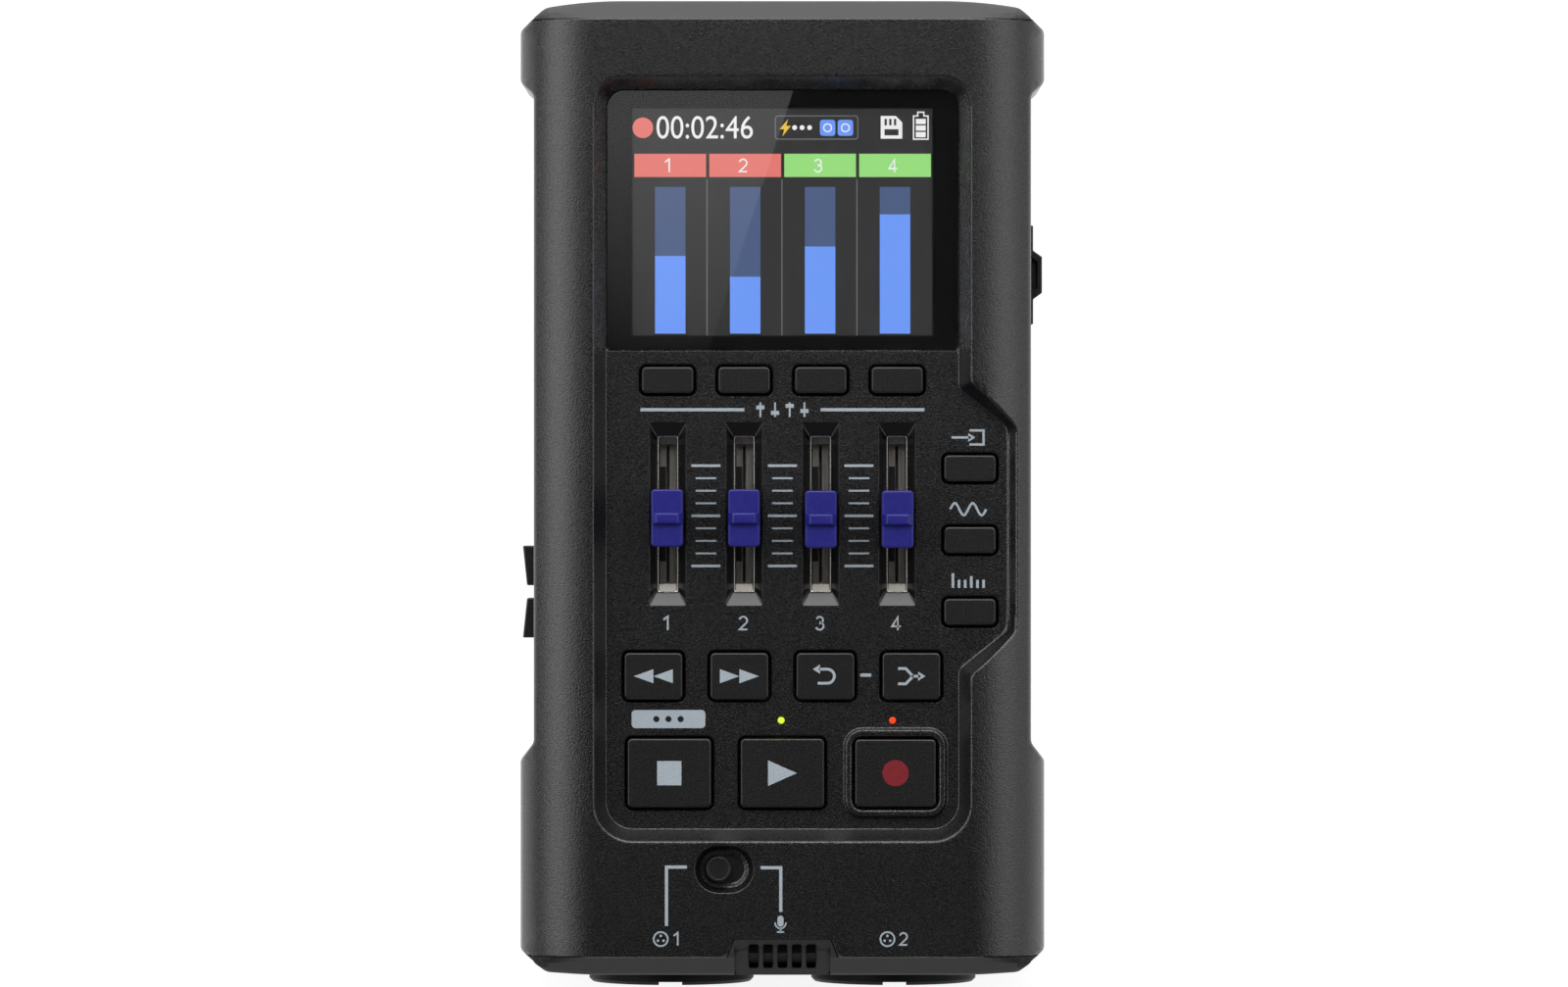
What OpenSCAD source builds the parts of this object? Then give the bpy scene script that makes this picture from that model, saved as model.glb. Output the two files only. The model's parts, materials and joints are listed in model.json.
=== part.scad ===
// Portable four-track audio recorder, lying on its back, in millimetres.
// The origin is on the table, under the middle of the outline.
// +X is the right side of the control panel, +Y the display end and +Z up.

/* [Body] */
// Width over the corner bumpers
body_w = 82.4; // [81:0.2:90]
// Length from the rear end to the panel floor
rear_margin = 14.1; // [13:0.1:20]
// Length from the panel floor to the front end
front_margin = 23; // [22.5:0.1:30]
// Height of the upper rim above the table
rim_z = 43.5; // [43:0.5:48]
// Height of the plane where the two case halves meet
split_z = 20; // [19:0.5:22]
// Thickness of the case walls
wall = 2; // [1.6:0.1:2.2]
// Step from a bumper in to the waist of each long side
waist_inset = 2.25; // [1.5:0.25:2.5]
// Sideways run of the rounded upper shoulders
shoulder_run = 11.75; // [10:0.25:12]
// Drop of the rounded upper shoulders
shoulder_drop = 9; // [8:0.5:10]
// Radius of the long lower edges
keel_r = 6; // [4:0.5:6.5]
// Running gap around pieces that move
slip = 0.2; // [0.15:0.05:0.3]
// Gap between fixed pieces that fit into each other
seat_gap = 0.1; // [0.05:0.05:0.15]

/* [End caps] */
// Length of the front cap along the body
front_cap_l = 3.15; // [2.8:0.05:4]
// Length of the rear cap along the body
rear_cap_l = 3.15; // [2.8:0.05:4]
// Drop of the slanted upper face of the caps
cap_slope_drop = 6.5; // [5:0.5:8]
// Sideways run of the cut corners of the outline
corner_dx = 4.2; // [3:0.2:5]
// Lengthwise run of the cut corners of the outline
corner_dy = 3.6; // [3:0.2:4]
// Width of one microphone slot
mic_slot_w = 1.53; // [1.2:0.1:1.8]
// Spacing of the microphone slots
mic_slot_pitch = 2.25; // [2.1:0.05:2.6]

/* [Control panel] */
// Depth of the panel floor below the rim
panel_depth = 3.5; // [3:0.1:4]
// Thickness of the panel
panel_t = 2; // [1.8:0.1:2.4]
// Width of the panel floor beside the display
panel_w = 55.4; // [55.4:0.2:58]
// Gap between the display window and the track buttons
window_gap = 2.58; // [2:0.02:6]
// Gap between the track buttons and the fader slots
track_gap = 4.8; // [2:0.1:8]
// Gap between the fader slots and the winding buttons
fader_gap = 7.18; // [3:0.02:10]
// Gap between the winding buttons and the stop button, with the indicator lights in it
light_gap = 6.12; // [5.5:0.02:10]
// Gap between the stop button and the lower edge of the panel floor
panel_end_gap = 3.47; // [3:0.01:6]
// Run of the sloping wall around the panel
bevel_run = 1.7; // [1.2:0.1:2]
// X of the right edge of the side pocket for the function buttons
pocket_x = 35.4; // [34.6:0.2:36]

/* [Display] */
// Width of the display window
window_w = 55; // [53:0.2:55]
// Length of the display window
window_l = 40.8; // [40:0.2:42]
// Thickness of the display window
window_t = 1.4; // [1:0.1:1.5]
// Width of the lit screen area
screen_w = 47; // [44:0.5:48]
// Length of the lit screen area
screen_l = 35.6; // [34:0.2:36]

/* [Buttons] */
// Width of the track and function buttons
small_key_w = 8.1; // [7:0.1:8.6]
// Length of the track and function buttons
small_key_l = 4.1; // [3.6:0.1:5]
// Width of the winding and editing buttons
mid_key_w = 9.1; // [8:0.1:10]
// Length of the winding and editing buttons
mid_key_l = 7.3; // [6:0.1:7.6]
// Width of the stop and play buttons
big_key_w = 13.1; // [12:0.1:13.6]
// Length of the stop and play buttons
big_key_l = 10.8; // [10:0.1:11.2]
// Width of the record button
record_key_w = 12.7; // [12:0.1:13]
// Length of the record button
record_key_l = 10.6; // [10:0.1:10.8]
// Height of the buttons above the panel
key_h = 1.1; // [0.8:0.1:1.6]
// Travel of the buttons
key_travel = 0.6; // [0.4:0.05:0.7]
// Height of the raised ring around the record button
guard_h = 0.9; // [0.6:0.1:1.2]

/* [Faders] */
// Spacing of the four channels
channel_pitch = 11.98; // [11.8:0.02:12.2]
// Travel of a fader from end to end
fader_travel = 15.7; // [14:0.1:16]
// Width of a fader knob
knob_w = 4.97; // [4.4:0.1:5.4]
// Length of a fader knob
knob_l = 8.97; // [8:0.1:10]
// Height of a fader knob's top above the panel
knob_h = 7.6; // [6.8:0.1:8]
// Width of a fader's sunken slot
slot_w = 5.8; // [5.6:0.1:6.2]
// Length of a fader's sunken slot
slot_l = 28.65; // [27:0.2:29]

/* [Sockets] */
// Outer diameter of the input sockets' collars
collar_d = 26.2; // [25.6:0.1:26.6]
// How far the collars stand out of the front cap
collar_proud = 2; // [1.5:0.1:2.5]
// Diameter of the phone plug hole in an input socket
plug_d = 6.4; // [6.4:0.01:6.5]
// Diameter of the plug hole in the two small output sockets
mini_plug_d = 3.6; // [3.55:0.01:3.65]

/* [Side controls] */
// Travel of the selector knob beside the microphone
selector_travel = 1.75; // [1.5:0.05:2]
// Travel of the power slider to each side of its middle
power_travel = 2; // [1.5:0.1:2.5]
// Length of one volume button
volume_key_l = 6.25; // [5.5:0.05:6.5]
// Height of a volume button
volume_key_h = 5; // [4:0.1:5.2]
// Travel of a volume button
volume_travel = 0.5; // [0.3:0.05:0.6]

/* [Battery bay] */
// Diameter of a battery cell
cell_d = 14.3; // [14:0.1:14.4]
// Length of a battery cell
cell_l = 50.3; // [49.8:0.1:50.5]
// Ground clearance under the case, which the feet fill
foot_h = 1.2; // [0.8:0.1:1.6]
// Diameter of the rubber feet
foot_d = 6.4; // [5:0.2:6.6]

/* [Hidden] */
$fn = 48;
eps = 0.01;

// The panel is as long as the rows on it, and the body as long as the panel and its margins
panel_l = seat_gap + window_l + window_gap + small_key_l + track_gap + slot_l + fader_gap
    + mid_key_l + light_gap + big_key_l + panel_end_gap;
body_l = rear_margin + panel_l + front_margin;

// Ends of the body. The collars' faces and the rear cap bound the part, so its middle is at zero.
y_rear = (body_l + collar_proud) / 2;
y_front = y_rear - body_l;
cap_front_y = y_front + front_cap_l;
cap_rear_y = y_rear - rear_cap_l;
half_w = body_w / 2;
waist_x = half_w - waist_inset;
inner_x = waist_x - wall;

// Rows of the panel, from the rear to the front
panel_top = y_rear - rear_margin;
panel_bottom = panel_top - panel_l;
window_y = panel_top - seat_gap - window_l / 2;
track_key_y = window_y - window_l / 2 - window_gap - small_key_l / 2;
fader_y = track_key_y - small_key_l / 2 - track_gap - slot_l / 2;
mid_key_y = fader_y - slot_l / 2 - fader_gap - mid_key_l / 2;
light_share = 0.54;
light_y = mid_key_y - mid_key_l / 2 - light_gap * light_share;
big_key_y = mid_key_y - mid_key_l / 2 - light_gap - big_key_l / 2;

// Bumper steps along the long sides: where each step starts and ends
rear_bumper_l = 12.8;
front_bumper_l = 33.7;
rear_step_l = 2.1;
front_step_l = 2.9;
rear_bump = [y_rear - rear_bumper_l - rear_step_l, y_rear - rear_bumper_l];
front_bump = [y_front + front_bumper_l, y_front + front_bumper_l + front_step_l];
corner_blend_r = 2;
corner_least_r = 0.3;
corner_edge_r = 1.2;
bow_run = 6.3;
bow_r = 60;
front_bow = 0.5;
rear_bow = 1.2;
step_r = 1.8;

// Heights of the stack under the panel
panel_z = rim_z - panel_depth;
ceiling_z = panel_z - panel_t;
pot_h = 5;
pot_gap = 0.4;
board_t = 1.6;
board_edge = 2;
board_front = 6;
board_rear = 1;
board_z = ceiling_z - pot_gap - pot_h;
board_under_z = board_z - board_t;
side_drop = 2.5;
side_z = board_under_z - side_drop;
floor_z = foot_h + wall;

// Button layout
key_r = 0.7;
key_chamfer = 0.3;
flange_out = 0.5;
flange_t = 1;
stem_w = 3;
switch_w = 4.5;
switch_body_h = 2.6;
switch_plunger_h = 0.5;
switch_plunger_r = 1.2;
channel_x = [for (i = [-1.5:1.5]) i * channel_pitch];
function_key_edge = 6.04;
function_key_x = pocket_x - function_key_edge;
function_key_pitch = 11.23;
function_mid_drop = 3.86;
function_mid_y = fader_y - function_mid_drop;
function_key_y = [for (i = [1:-1:-1]) function_mid_y + i * function_key_pitch];
mid_key_pitch = 13.46;
mid_key_x = [for (i = [-1.5:1.5]) i * mid_key_pitch];
big_key_pitch = 17.7;
big_key_x = [for (i = [-1:1]) i * big_key_pitch];
light_shift = [0.2, 0.45];
light_x = [for (i = [0, 1]) big_key_x[i + 1] - light_shift[i]];
light_r = 0.5;
light_flange_out = 0.6;
light_rise = 0.3;
emitter_h = 1;
emitter_w = 1.6;

// One row per button: x, y, width, length
TRACK_KEYS = [for (x = channel_x) [x, track_key_y, small_key_w, small_key_l]];
FUNCTION_KEYS = [for (y = function_key_y) [function_key_x, y, small_key_w, small_key_l]];
MID_KEYS = [for (x = mid_key_x) [x, mid_key_y, mid_key_w, mid_key_l]];
STOP_KEY = [big_key_x[0], big_key_y, big_key_w, big_key_l];
PLAY_KEY = [big_key_x[1], big_key_y, big_key_w, big_key_l];
RECORD_KEY = [big_key_x[2], big_key_y, record_key_w, record_key_l];
ALL_KEYS = concat(TRACK_KEYS, FUNCTION_KEYS, MID_KEYS, [STOP_KEY, PLAY_KEY, RECORD_KEY]);

// Raised ring around the record button
guard_gap = 0.45;
guard_w = 1.2;
guard_r = 1.6;

// Side pocket of the panel for the three function buttons
pocket_rear_room = 6.4;
pocket_front_room = 2.9;
pocket_top = function_key_y[0] + pocket_rear_room;
pocket_bottom = function_key_y[2] - pocket_front_room;
pocket_flare = 6.2;
pocket_bevel = 2.8;
panel_top_r = 2.7;
panel_bottom_r = 4.3;

// Display
screen_low = 0.2;
screen_y = window_y - screen_low;
window_top_r = 2.7;
window_bottom_r = 0.75;
lcd_side_rim = 2.5;
lcd_end_rim = 2.2;
lcd_w = screen_w + 2 * lcd_side_rim;
lcd_l = screen_l + 2 * lcd_end_rim;
lcd_t = 2.8;
lcd_gap = 0.1;
lcd_z = ceiling_z - lcd_gap - lcd_t;
screen_margin = 0.6;

// Faders
fader_rest = [-0.4, -0.4, -0.6, -0.6];
mouth_side = 1.18;
mouth_end = 2.125;
mouth_w = slot_w - 2 * mouth_side;
mouth_l = slot_l - 2 * mouth_end;
knob_under = 1;
ridge_h = 0.9;
ridge_base = 1.9;
ridge_top = 1.2;
ridge_inset = 0.75;
knob_cut = 0.5;
lever_w = 1;
lever_l = 4;
lever_grip = 3.5;
pot_w = 7;
pot_overrun = 1.35;
pot_l = slot_l + pot_overrun;
pot_wall = 0.5;
pot_slot_w = 1.6;
carriage_w = 4.6;
carriage_h = 1.6;

// Selector beside the microphone: knob at the left end of its travel
selector_x = -9.09;
selector_inset = 16.95;
selector_y = y_front + selector_inset;
selector_d = 4.04;
dish_w = 7.4;
dish_depth = 1.7;
dish_slope = 0.9;
dish_floor_t = 2;
selector_plate_t = 1;
selector_plate_w = 6.2;
selector_plate_lap = 1;
selector_plate_l = selector_d + 2 * (selector_travel + selector_plate_lap);
selector_plate_z = rim_z - dish_depth - dish_floor_t - seat_gap;
selector_stem_w = 2;
selector_stem_z = board_z + pot_h - pot_gap;
selector_switch_w = 8;
selector_switch_l = 4;
knob_sink = 0.2;

// Power slider on the right wall
power_drop = 8.3;
power_y = window_y - power_drop;
power_plate_l = 15.6;
power_plate_h = 5.5;
power_plate_t = 1;
power_pocket = 0.5;
power_grip_base = 7.7;
power_grip_top = 5.7;
power_grip_h = 1.4;
power_grip_wall = 0.8;
power_hollow = 1;
power_skin = 0.3;
power_stem_l = 4;
power_stem_h = 2;
power_bar_h = 4;
power_bar_t = 1.1;
power_switch_w = 8;
power_switch_l = 10;
power_switch_lip = 0.5;

// Volume buttons on the left wall
volume_drop = 12.06;
volume_y = fader_y - volume_drop;
volume_gap = 2;
volume_tip = 2;
volume_low = 1.35;
volume_flange_t = 0.9;
volume_switch_l = 3.5;
volume_switch_w = 4;
volume_switch_low = 1.5;

// Input sockets
collar_r = collar_d / 2;
socket_room = 0.4;
socket_z = board_under_z - socket_room - collar_r;
collar_bore_r = 9.75;
collar_edge = 0.5;
core_r = 8;
core_sink = 1.6;
socket_depth = 19.5;
socket_l = 31;
core_tail_r = 5;
plug_depth = 28;
pin_r = 1.2;
pin_circle_r = 4.9;
pin_depth = 12;
collar_notch_w = 3.7;
collar_notch_h = 0.5;
core_front_y = y_front - collar_proud + core_sink;
socket_floor_y = core_front_y + socket_depth;
socket_rear_y = y_front - collar_proud + socket_l;

// Small sockets on the sides
phones_rise = 2.3;
line_out_rise = 14.8;
phones_y = fader_y + phones_rise;
line_out_y = fader_y + line_out_rise;
mini_l = 12;
mini_w = 6;
mini_drop = 2.6;
mini_h = board_under_z - side_z + mini_drop;
mini_depth = 11;
mini_nose_r = 3;
mini_nose_sink = 0.2;
usb_drop = 12.7;
usb_y = fader_y - usb_drop;
usb_w = 8.9;
usb_h = 3.2;
usb_l = 7.4;
usb_sheet = 0.3;
card_rise = 8.8;
card_y = fader_y + card_rise;
card_w = 14;
card_l = 15;
card_t = 1.5;
card_slot_w = 11.6;

// Microphone
mic_tongue_l = 2.85;
mic_ramp_l = 1.15;
mic_slot_out = 1.85;
mic_slot_in = 2.05;
mic_tongue_y = cap_front_y + mic_tongue_l;
mic_ramp_y = cap_front_y + mic_ramp_l;
mic_half_top = 7.5;
mic_half_base = 8.6;
mic_slot_y = [cap_front_y - mic_slot_out, cap_front_y + mic_slot_in];
mic_ramp_inset = 0.7;
mic_tongue_h = 3;
mic_boot_w = 13;
mic_boot_l = 5;
mic_boot_h = 5;
mic_x = 3.2;
mic_r = 2.1;
mic_h = 2.4;
mic_sink = 0.2;
cap_step = 0.25;
cap_lip_l = 1.5;
cap_lip_t = 1.2;
cap_low_run = 2.4;
cap_low_rise = 4;
mic_boot_top = rim_z - cap_step - mic_tongue_h - seat_gap;
mic_y = cap_front_y + mic_boot_l / 2 + seat_gap;

// Battery bay, with the cells lying across the body
cell_gap = 0.1;
cell_room = 0.3;
bay_spare = 0.4;
bay_end_gap = 1.8;
cell_pitch = cell_d + cell_gap;
bay_wall = 3;
bay_end_wall = 1.4;
contact_room = 1.5;
contact_t = 0.4;
contact_w = 10;
contact_h = 9;
leaf_w = 4;
leaf_l = 6;
leaf_tip = 1;
bay_w = cell_l + 2 * contact_room;
bay_l = 4 * cell_pitch + bay_spare;
bay_y1 = cap_rear_y - bay_end_gap;
bay_y0 = bay_y1 - bay_l;
cell_z = floor_z + cell_room + cell_d / 2;
bay_top_z = cell_z + cell_d / 2 + cell_room;
door_lap = 1.3;
door_top_w = bay_w + 2 * door_lap;
door_taper = 1.25;
door_grip_n = 5;
door_grip_y = 6;
door_grip_pitch = 2;
door_grip_w = 20;
door_grip_l = 0.8;
door_grip_depth = 0.5;

// Fasteners and feet
boss_r = 2.6;
boss_gap = 0.75;
boss_rear_inset = 19.5;
boss_front_inset = 15.5;
boss_rise = 2.13;
boss_x = inner_x - boss_r - boss_gap;
boss_y = [y_rear - boss_rear_inset, track_key_y + boss_rise, y_front + boss_front_inset];
socket_pitch = 2 * (boss_x - boss_r - slip - collar_r);
case_screw_r = 1.3;
case_head_r = 2.1;
case_head_h = 1.6;
case_seat_z = 13;
case_screw_l = 13;
post_gap = 0.1;
board_boss_x = [25.5, 9];
board_boss_drop = 1.47;
board_boss_rise = 0.2;
board_boss = [
    [board_boss_x[0], track_key_y - board_boss_drop],
    [board_boss_x[1], light_y + board_boss_rise]
];
board_boss_r = 1.9;
board_screw_r = 1;
board_head_r = 1.9;
board_head_h = 1.4;
board_screw_l = 5;
thread_gap = 0.05;
foot_wall = 0.05;
foot_x = door_top_w / 2 + slip + seat_gap + foot_wall + foot_d / 2;
foot_rear_inset = 10.5;
foot_front_inset = 8.5;
foot_y = [y_rear - foot_rear_inset, y_front + foot_front_inset];
foot_sink = 0.8;

// Colours
shell_grey = [0.2, 0.2, 0.21];
cap_grey = [0.24, 0.235, 0.245];
key_grey = [0.14, 0.14, 0.145];
board_green = [0.08, 0.32, 0.18];
metal = [0.72, 0.72, 0.72];
black = [0.06, 0.06, 0.065];

// Points on an arc of an ellipse about c, from angle a0 to a1
function arc(c, rx, ry, a0, a1, n = 6) =
    [for (k = [0:n]) let (a = a0 + (a1 - a0) * k / n) [c[0] + rx * cos(a), c[1] + ry * sin(a)]];

// A rectangle of width w and length l about the origin, with its corners rounded by r
function round_rect(w, l, r, n = 4) =
    let (x = w / 2 - r, y = l / 2 - r)
    concat(arc([x, y], r, r, 0, 90, n), arc([-x, y], r, r, 90, 180, n),
           arc([-x, -y], r, r, 180, 270, n), arc([x, -y], r, r, 270, 360, n));

// An upright outline of half width x from y = b to t, with its own corner radius at each end
function tablet(x, t, b, rt, rb) =
    concat(arc([x - rt, t - rt], rt, rt, 0, 90), arc([rt - x, t - rt], rt, rt, 90, 180),
           arc([rb - x, b + rb], rb, rb, 180, 270), arc([x - rb, b + rb], rb, rb, 270, 360));

function unit(v) = v / norm(v);

// The corner at b between a and c, rounded by r
function blend(a, b, c, r, n = 4) =
    let (u = unit(a - b), v = unit(c - b), half = acos(u * v) / 2,
         m = b + unit(u + v) * r / sin(half),
         p = b + u * r / tan(half) - m, q = b + v * r / tan(half) - m)
    [for (k = [0:n]) let (t = k / n, w = (1 - t) * p + t * q) m + unit(w) * r];

// A closed outline through pts, each rounded by its own radius
function smooth(pts, radii) =
    let (n = len(pts))
    [for (i = [0:n - 1]) each blend(pts[(i + n - 1) % n], pts[i], pts[(i + 1) % n], radii[i])];

function mirrored(pts) = [for (i = [len(pts) - 1:-1:0]) [-pts[i][0], pts[i][1]]];

// The outline seen from above, drawn in by inset: both ends bow back a little before their cut corners
function plan(inset) =
    let (w = half_w - inset, n = waist_x - inset, f = y_front + inset, r = y_rear - inset,
         cut = w - corner_dx, bow = bow_r - inset, edge = max(corner_blend_r - inset, corner_least_r),
         right = [
             [cut - bow_run, f], [cut, f + front_bow], [w, f + front_bow + corner_dy],
             [w, front_bump[0]], [n, front_bump[1]], [n, rear_bump[0]], [w, rear_bump[1]],
             [w, r - rear_bow - corner_dy], [cut, r - rear_bow], [cut - bow_run, r]
         ],
         radii = [bow, edge, corner_edge_r, step_r, step_r, step_r, step_r, corner_edge_r, edge, bow])
    smooth(concat(right, mirrored(right)), concat(radii, [for (i = [len(radii) - 1:-1:0]) radii[i]]));

// The outline seen from an end, drawn in by inset
function profile(inset) =
    let (top = arc([half_w - shoulder_run, rim_z - shoulder_drop],
                   shoulder_run - inset, shoulder_drop - inset, 0, 90, 12),
         keel = arc([half_w - keel_r, foot_h + keel_r], keel_r - inset, keel_r - inset, 270, 360, 5),
         right = concat(keel, top))
    concat(right, mirrored(right));

// The slanted ends seen from the side, drawn in by inset: y and z
function ends(inset) =
    let (f = y_front + inset, r = y_rear - inset, t = rim_z - cap_step - inset, b = foot_h + inset)
    [
        [f + cap_low_run, b], [f, b + cap_low_rise], [f, t - cap_slope_drop], [cap_front_y, t],
        [cap_rear_y, t], [r, t - cap_slope_drop], [r, b + cap_low_rise], [r - cap_low_run, b]
    ];

// Outline of the side pocket: grow is the run of its sloping wall
function pocket(grow, side) =
    let (x = panel_w / 2, rise = pocket_flare / (pocket_x - x), lift = grow * sqrt(1 + rise * rise))
    [
        [0, pocket_top + pocket_flare + lift], [x, pocket_top + pocket_flare + lift],
        [pocket_x + side, pocket_top + lift - rise * side],
        [pocket_x + side, pocket_bottom - lift + rise * side],
        [x, pocket_bottom - pocket_flare - lift], [0, pocket_bottom - pocket_flare - lift]
    ];

module along_x(x0, x1) { translate([x0, 0, 0]) rotate([90, 0, 90]) linear_extrude(x1 - x0) children(); }
module along_y(y0, y1) { translate([0, y1, 0]) rotate([90, 0, 0]) linear_extrude(y1 - y0) children(); }
module along_z(z0, z1) { translate([0, 0, z0]) linear_extrude(z1 - z0) children(); }
function span(half) = [-half, half];
module box(x, y, z) {
    translate([x[0], y[0], z[0]]) cube([x[1] - x[0], y[1] - y[0], z[1] - z[0]]);
}
module bar(p, w, l, z0, z1) { translate([p[0], p[1], 0]) box(span(w / 2), span(l / 2), [z0, z1]); }
module rod(p, r, z0, z1) { translate([p[0], p[1], z0]) cylinder(r = r, h = z1 - z0); }
module both_sides() {
    children();
    mirror([1, 0, 0]) children();
}

// The case as one solid, without its slanted ends
module sleeve(inset, y0, y1, z0, z1) {
    intersection() {
        along_z(z0, z1) polygon(plan(inset));
        along_y(y0, y1) polygon(profile(inset));
    }
}

// The ends of the body as solids, with their slanted faces
module end_block(inset, y0, y1) {
    intersection() {
        sleeve(inset, y0, y1, 0, rim_z + 1);
        along_x(-half_w - 1, half_w + 1) polygon(ends(inset));
    }
}

// The sunken panel and its side pocket, cut from above
module panel_recess() {
    hull() {
        along_z(panel_z, panel_z + eps) panel_outline(0);
        along_z(rim_z, rim_z + 1) panel_outline(bevel_run);
    }
    hull() {
        along_z(panel_z, panel_z + eps) polygon(pocket(0, 0));
        along_z(rim_z, rim_z + 1) polygon(pocket(bevel_run, pocket_bevel));
    }
}
module panel_outline(grow) {
    polygon(tablet(panel_w / 2 + grow, panel_top + grow, panel_bottom - grow,
                   panel_top_r + grow, panel_bottom_r + grow));
}
module window_outline(grow) {
    polygon(tablet(window_w / 2 + grow, window_y + window_l / 2 + grow, window_y - window_l / 2 - grow,
                   window_top_r, window_bottom_r));
}

// A fader's sunken slot: wide at the panel, narrow at its mouth
module fader_slot(x) {
    translate([x, fader_y, 0]) intersection() {
        along_y(-slot_l, slot_l) slot_section(slot_w, mouth_w);
        along_x(-slot_w, slot_w) slot_section(slot_l, mouth_l);
    }
}
module slot_section(top, mouth) {
    polygon([[-mouth / 2, ceiling_z - 1], [mouth / 2, ceiling_z - 1], [mouth / 2, ceiling_z],
             [top / 2, panel_z], [top / 2, panel_z + 1], [-top / 2, panel_z + 1],
             [-top / 2, panel_z], [-mouth / 2, ceiling_z]]);
}

// Dish and slot of the selector knob, and room for the plate under them
module selector_dish() {
    reach = selector_travel / 2;
    base = rim_z - dish_depth;
    translate([selector_x, selector_y, 0]) {
        hull() {
            stadium(dish_w / 2 - dish_slope, reach, base, base + eps);
            stadium(dish_w / 2, reach, rim_z, rim_z + 1);
        }
        stadium(selector_d / 2 + slip, reach, ceiling_z - 1, rim_z);
        bar([0, 0], selector_plate_l + selector_travel + 2 * slip, selector_plate_w + 2 * slip,
            ceiling_z - 1, selector_plate_z + seat_gap);
    }
}
module stadium(r, reach, z0, z1) {
    hull() for (x = [-reach, reach]) rod([x, 0], r, z0, z1, $fn = 32);
}

// Raised ring around the record button, and the hole it guards
module record_guard() {
    w = record_key_w + 2 * guard_gap;
    l = record_key_l + 2 * guard_gap;
    translate([RECORD_KEY[0], RECORD_KEY[1], 0]) difference() {
        along_z(panel_z - eps, panel_z + guard_h)
            polygon(round_rect(w + 2 * guard_w, l + 2 * guard_w, guard_r + guard_w));
        along_z(panel_z - 1, panel_z + guard_h + 1) polygon(round_rect(w, l, guard_r));
    }
}

// Bosses under the panel: six for the case screws, four for the board
module top_bosses() {
    both_sides() {
        intersection() {
            for (y = boss_y) rod([boss_x, y], boss_r, split_z, rim_z);
            sleeve(wall / 2, y_front, y_rear, 0, rim_z);
        }
        for (p = board_boss) rod(p, board_boss_r, board_z, ceiling_z + eps);
    }
    translate([selector_x, selector_y, 0])
        stadium(dish_w / 2 + 1, selector_travel / 2, rim_z - dish_depth - dish_floor_t, rim_z - wall + eps);
}
module boss_pilots() {
    both_sides() {
        for (y = boss_y) {
            top = case_seat_z + case_screw_l + 0.5;
            rod([boss_x, y], case_screw_r + thread_gap, split_z - 1, top);
        }
        for (p = board_boss)
            rod(p, board_screw_r + thread_gap, board_z - 1, board_under_z + board_screw_l + 0.3);
    }
}

// Openings in the side walls
module side_openings() {
    pocket_l = power_plate_l + 2 * (power_travel + slip);
    slot_len = power_stem_l + 2 * (power_travel + slip);
    translate([0, power_y, side_z]) {
        box([waist_x - power_pocket, half_w + 1], span(pocket_l / 2), span(power_plate_h / 2 + slip));
        box([inner_x - 1, half_w], span(slot_len / 2), span(power_stem_h / 2 + slip));
    }
    for (s = [-1, 1])
        translate([0, volume_y + s * (volume_gap + volume_key_l) / 2, side_z])
            box([-half_w, -inner_x + 1], span(volume_key_l / 2 + slip), span(volume_key_h / 2 + slip));
    nose_d = 2 * (mini_nose_r + slip);
    for (y = [phones_y, line_out_y])
        along_x(-half_w, -inner_x + 1) translate([y, side_z])
            polygon(round_rect(nose_d, nose_d, nose_d / 2 - eps, 6));
    along_x(inner_x - 1, half_w) translate([usb_y, board_under_z - usb_h / 2])
        polygon(round_rect(usb_w + 2 * slip, usb_h + 2 * slip, usb_h / 2));
    translate([0, card_y, board_under_z]) box([inner_x - 1, half_w], span(card_slot_w / 2), [-card_t, 0]);
}

// Outline of the cap's tongue that carries the microphone slots
module mic_outline(grow) {
    polygon([[-mic_half_top - grow, mic_tongue_y + grow], [mic_half_top + grow, mic_tongue_y + grow],
             [mic_half_base + grow, cap_front_y - eps], [-mic_half_base - grow, cap_front_y - eps]]);
}

module top_case() {
    color(shell_grey) difference() {
        union() {
            difference() {
                sleeve(0, cap_front_y, cap_rear_y, split_z, rim_z + 1);
                sleeve(wall, y_front, y_rear, 0, ceiling_z);
                sleeve(wall, y_front, panel_bottom - bevel_run - wall, 0, rim_z);
                sleeve(wall, panel_top + bevel_run + wall, y_rear, 0, rim_z);
                panel_recess();
            }
            record_guard();
            top_bosses();
        }
        along_z(panel_z - window_t, panel_z + 1) window_outline(seat_gap);
        translate([0, screen_y, 0]) along_z(ceiling_z - 1, panel_z)
            polygon(round_rect(screen_w + 2 * screen_margin, screen_l + 2 * screen_margin, 0.5));
        for (k = ALL_KEYS)
            translate([k[0], k[1], 0]) along_z(ceiling_z - 1, panel_z + 1)
                polygon(round_rect(k[2] + 2 * slip, k[3] + 2 * slip, key_r + slip));
        for (x = channel_x) fader_slot(x);
        for (x = light_x) rod([x, light_y], light_r + thread_gap, ceiling_z - 1, rim_z);
        selector_dish();
        side_openings();
        along_z(rim_z - wall - 2, rim_z + 1) mic_outline(seat_gap);
        boss_pilots();
    }
}

// Plate that slides in a dovetail: the battery door, grown by grow for its groove
module dovetail(grow, y0, y1) {
    top = door_top_w / 2 + grow;
    low = top - door_taper;
    along_y(y0, y1) polygon([[-low, foot_h - eps], [low, foot_h - eps], [top, floor_z], [-top, floor_z]]);
}

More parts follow.
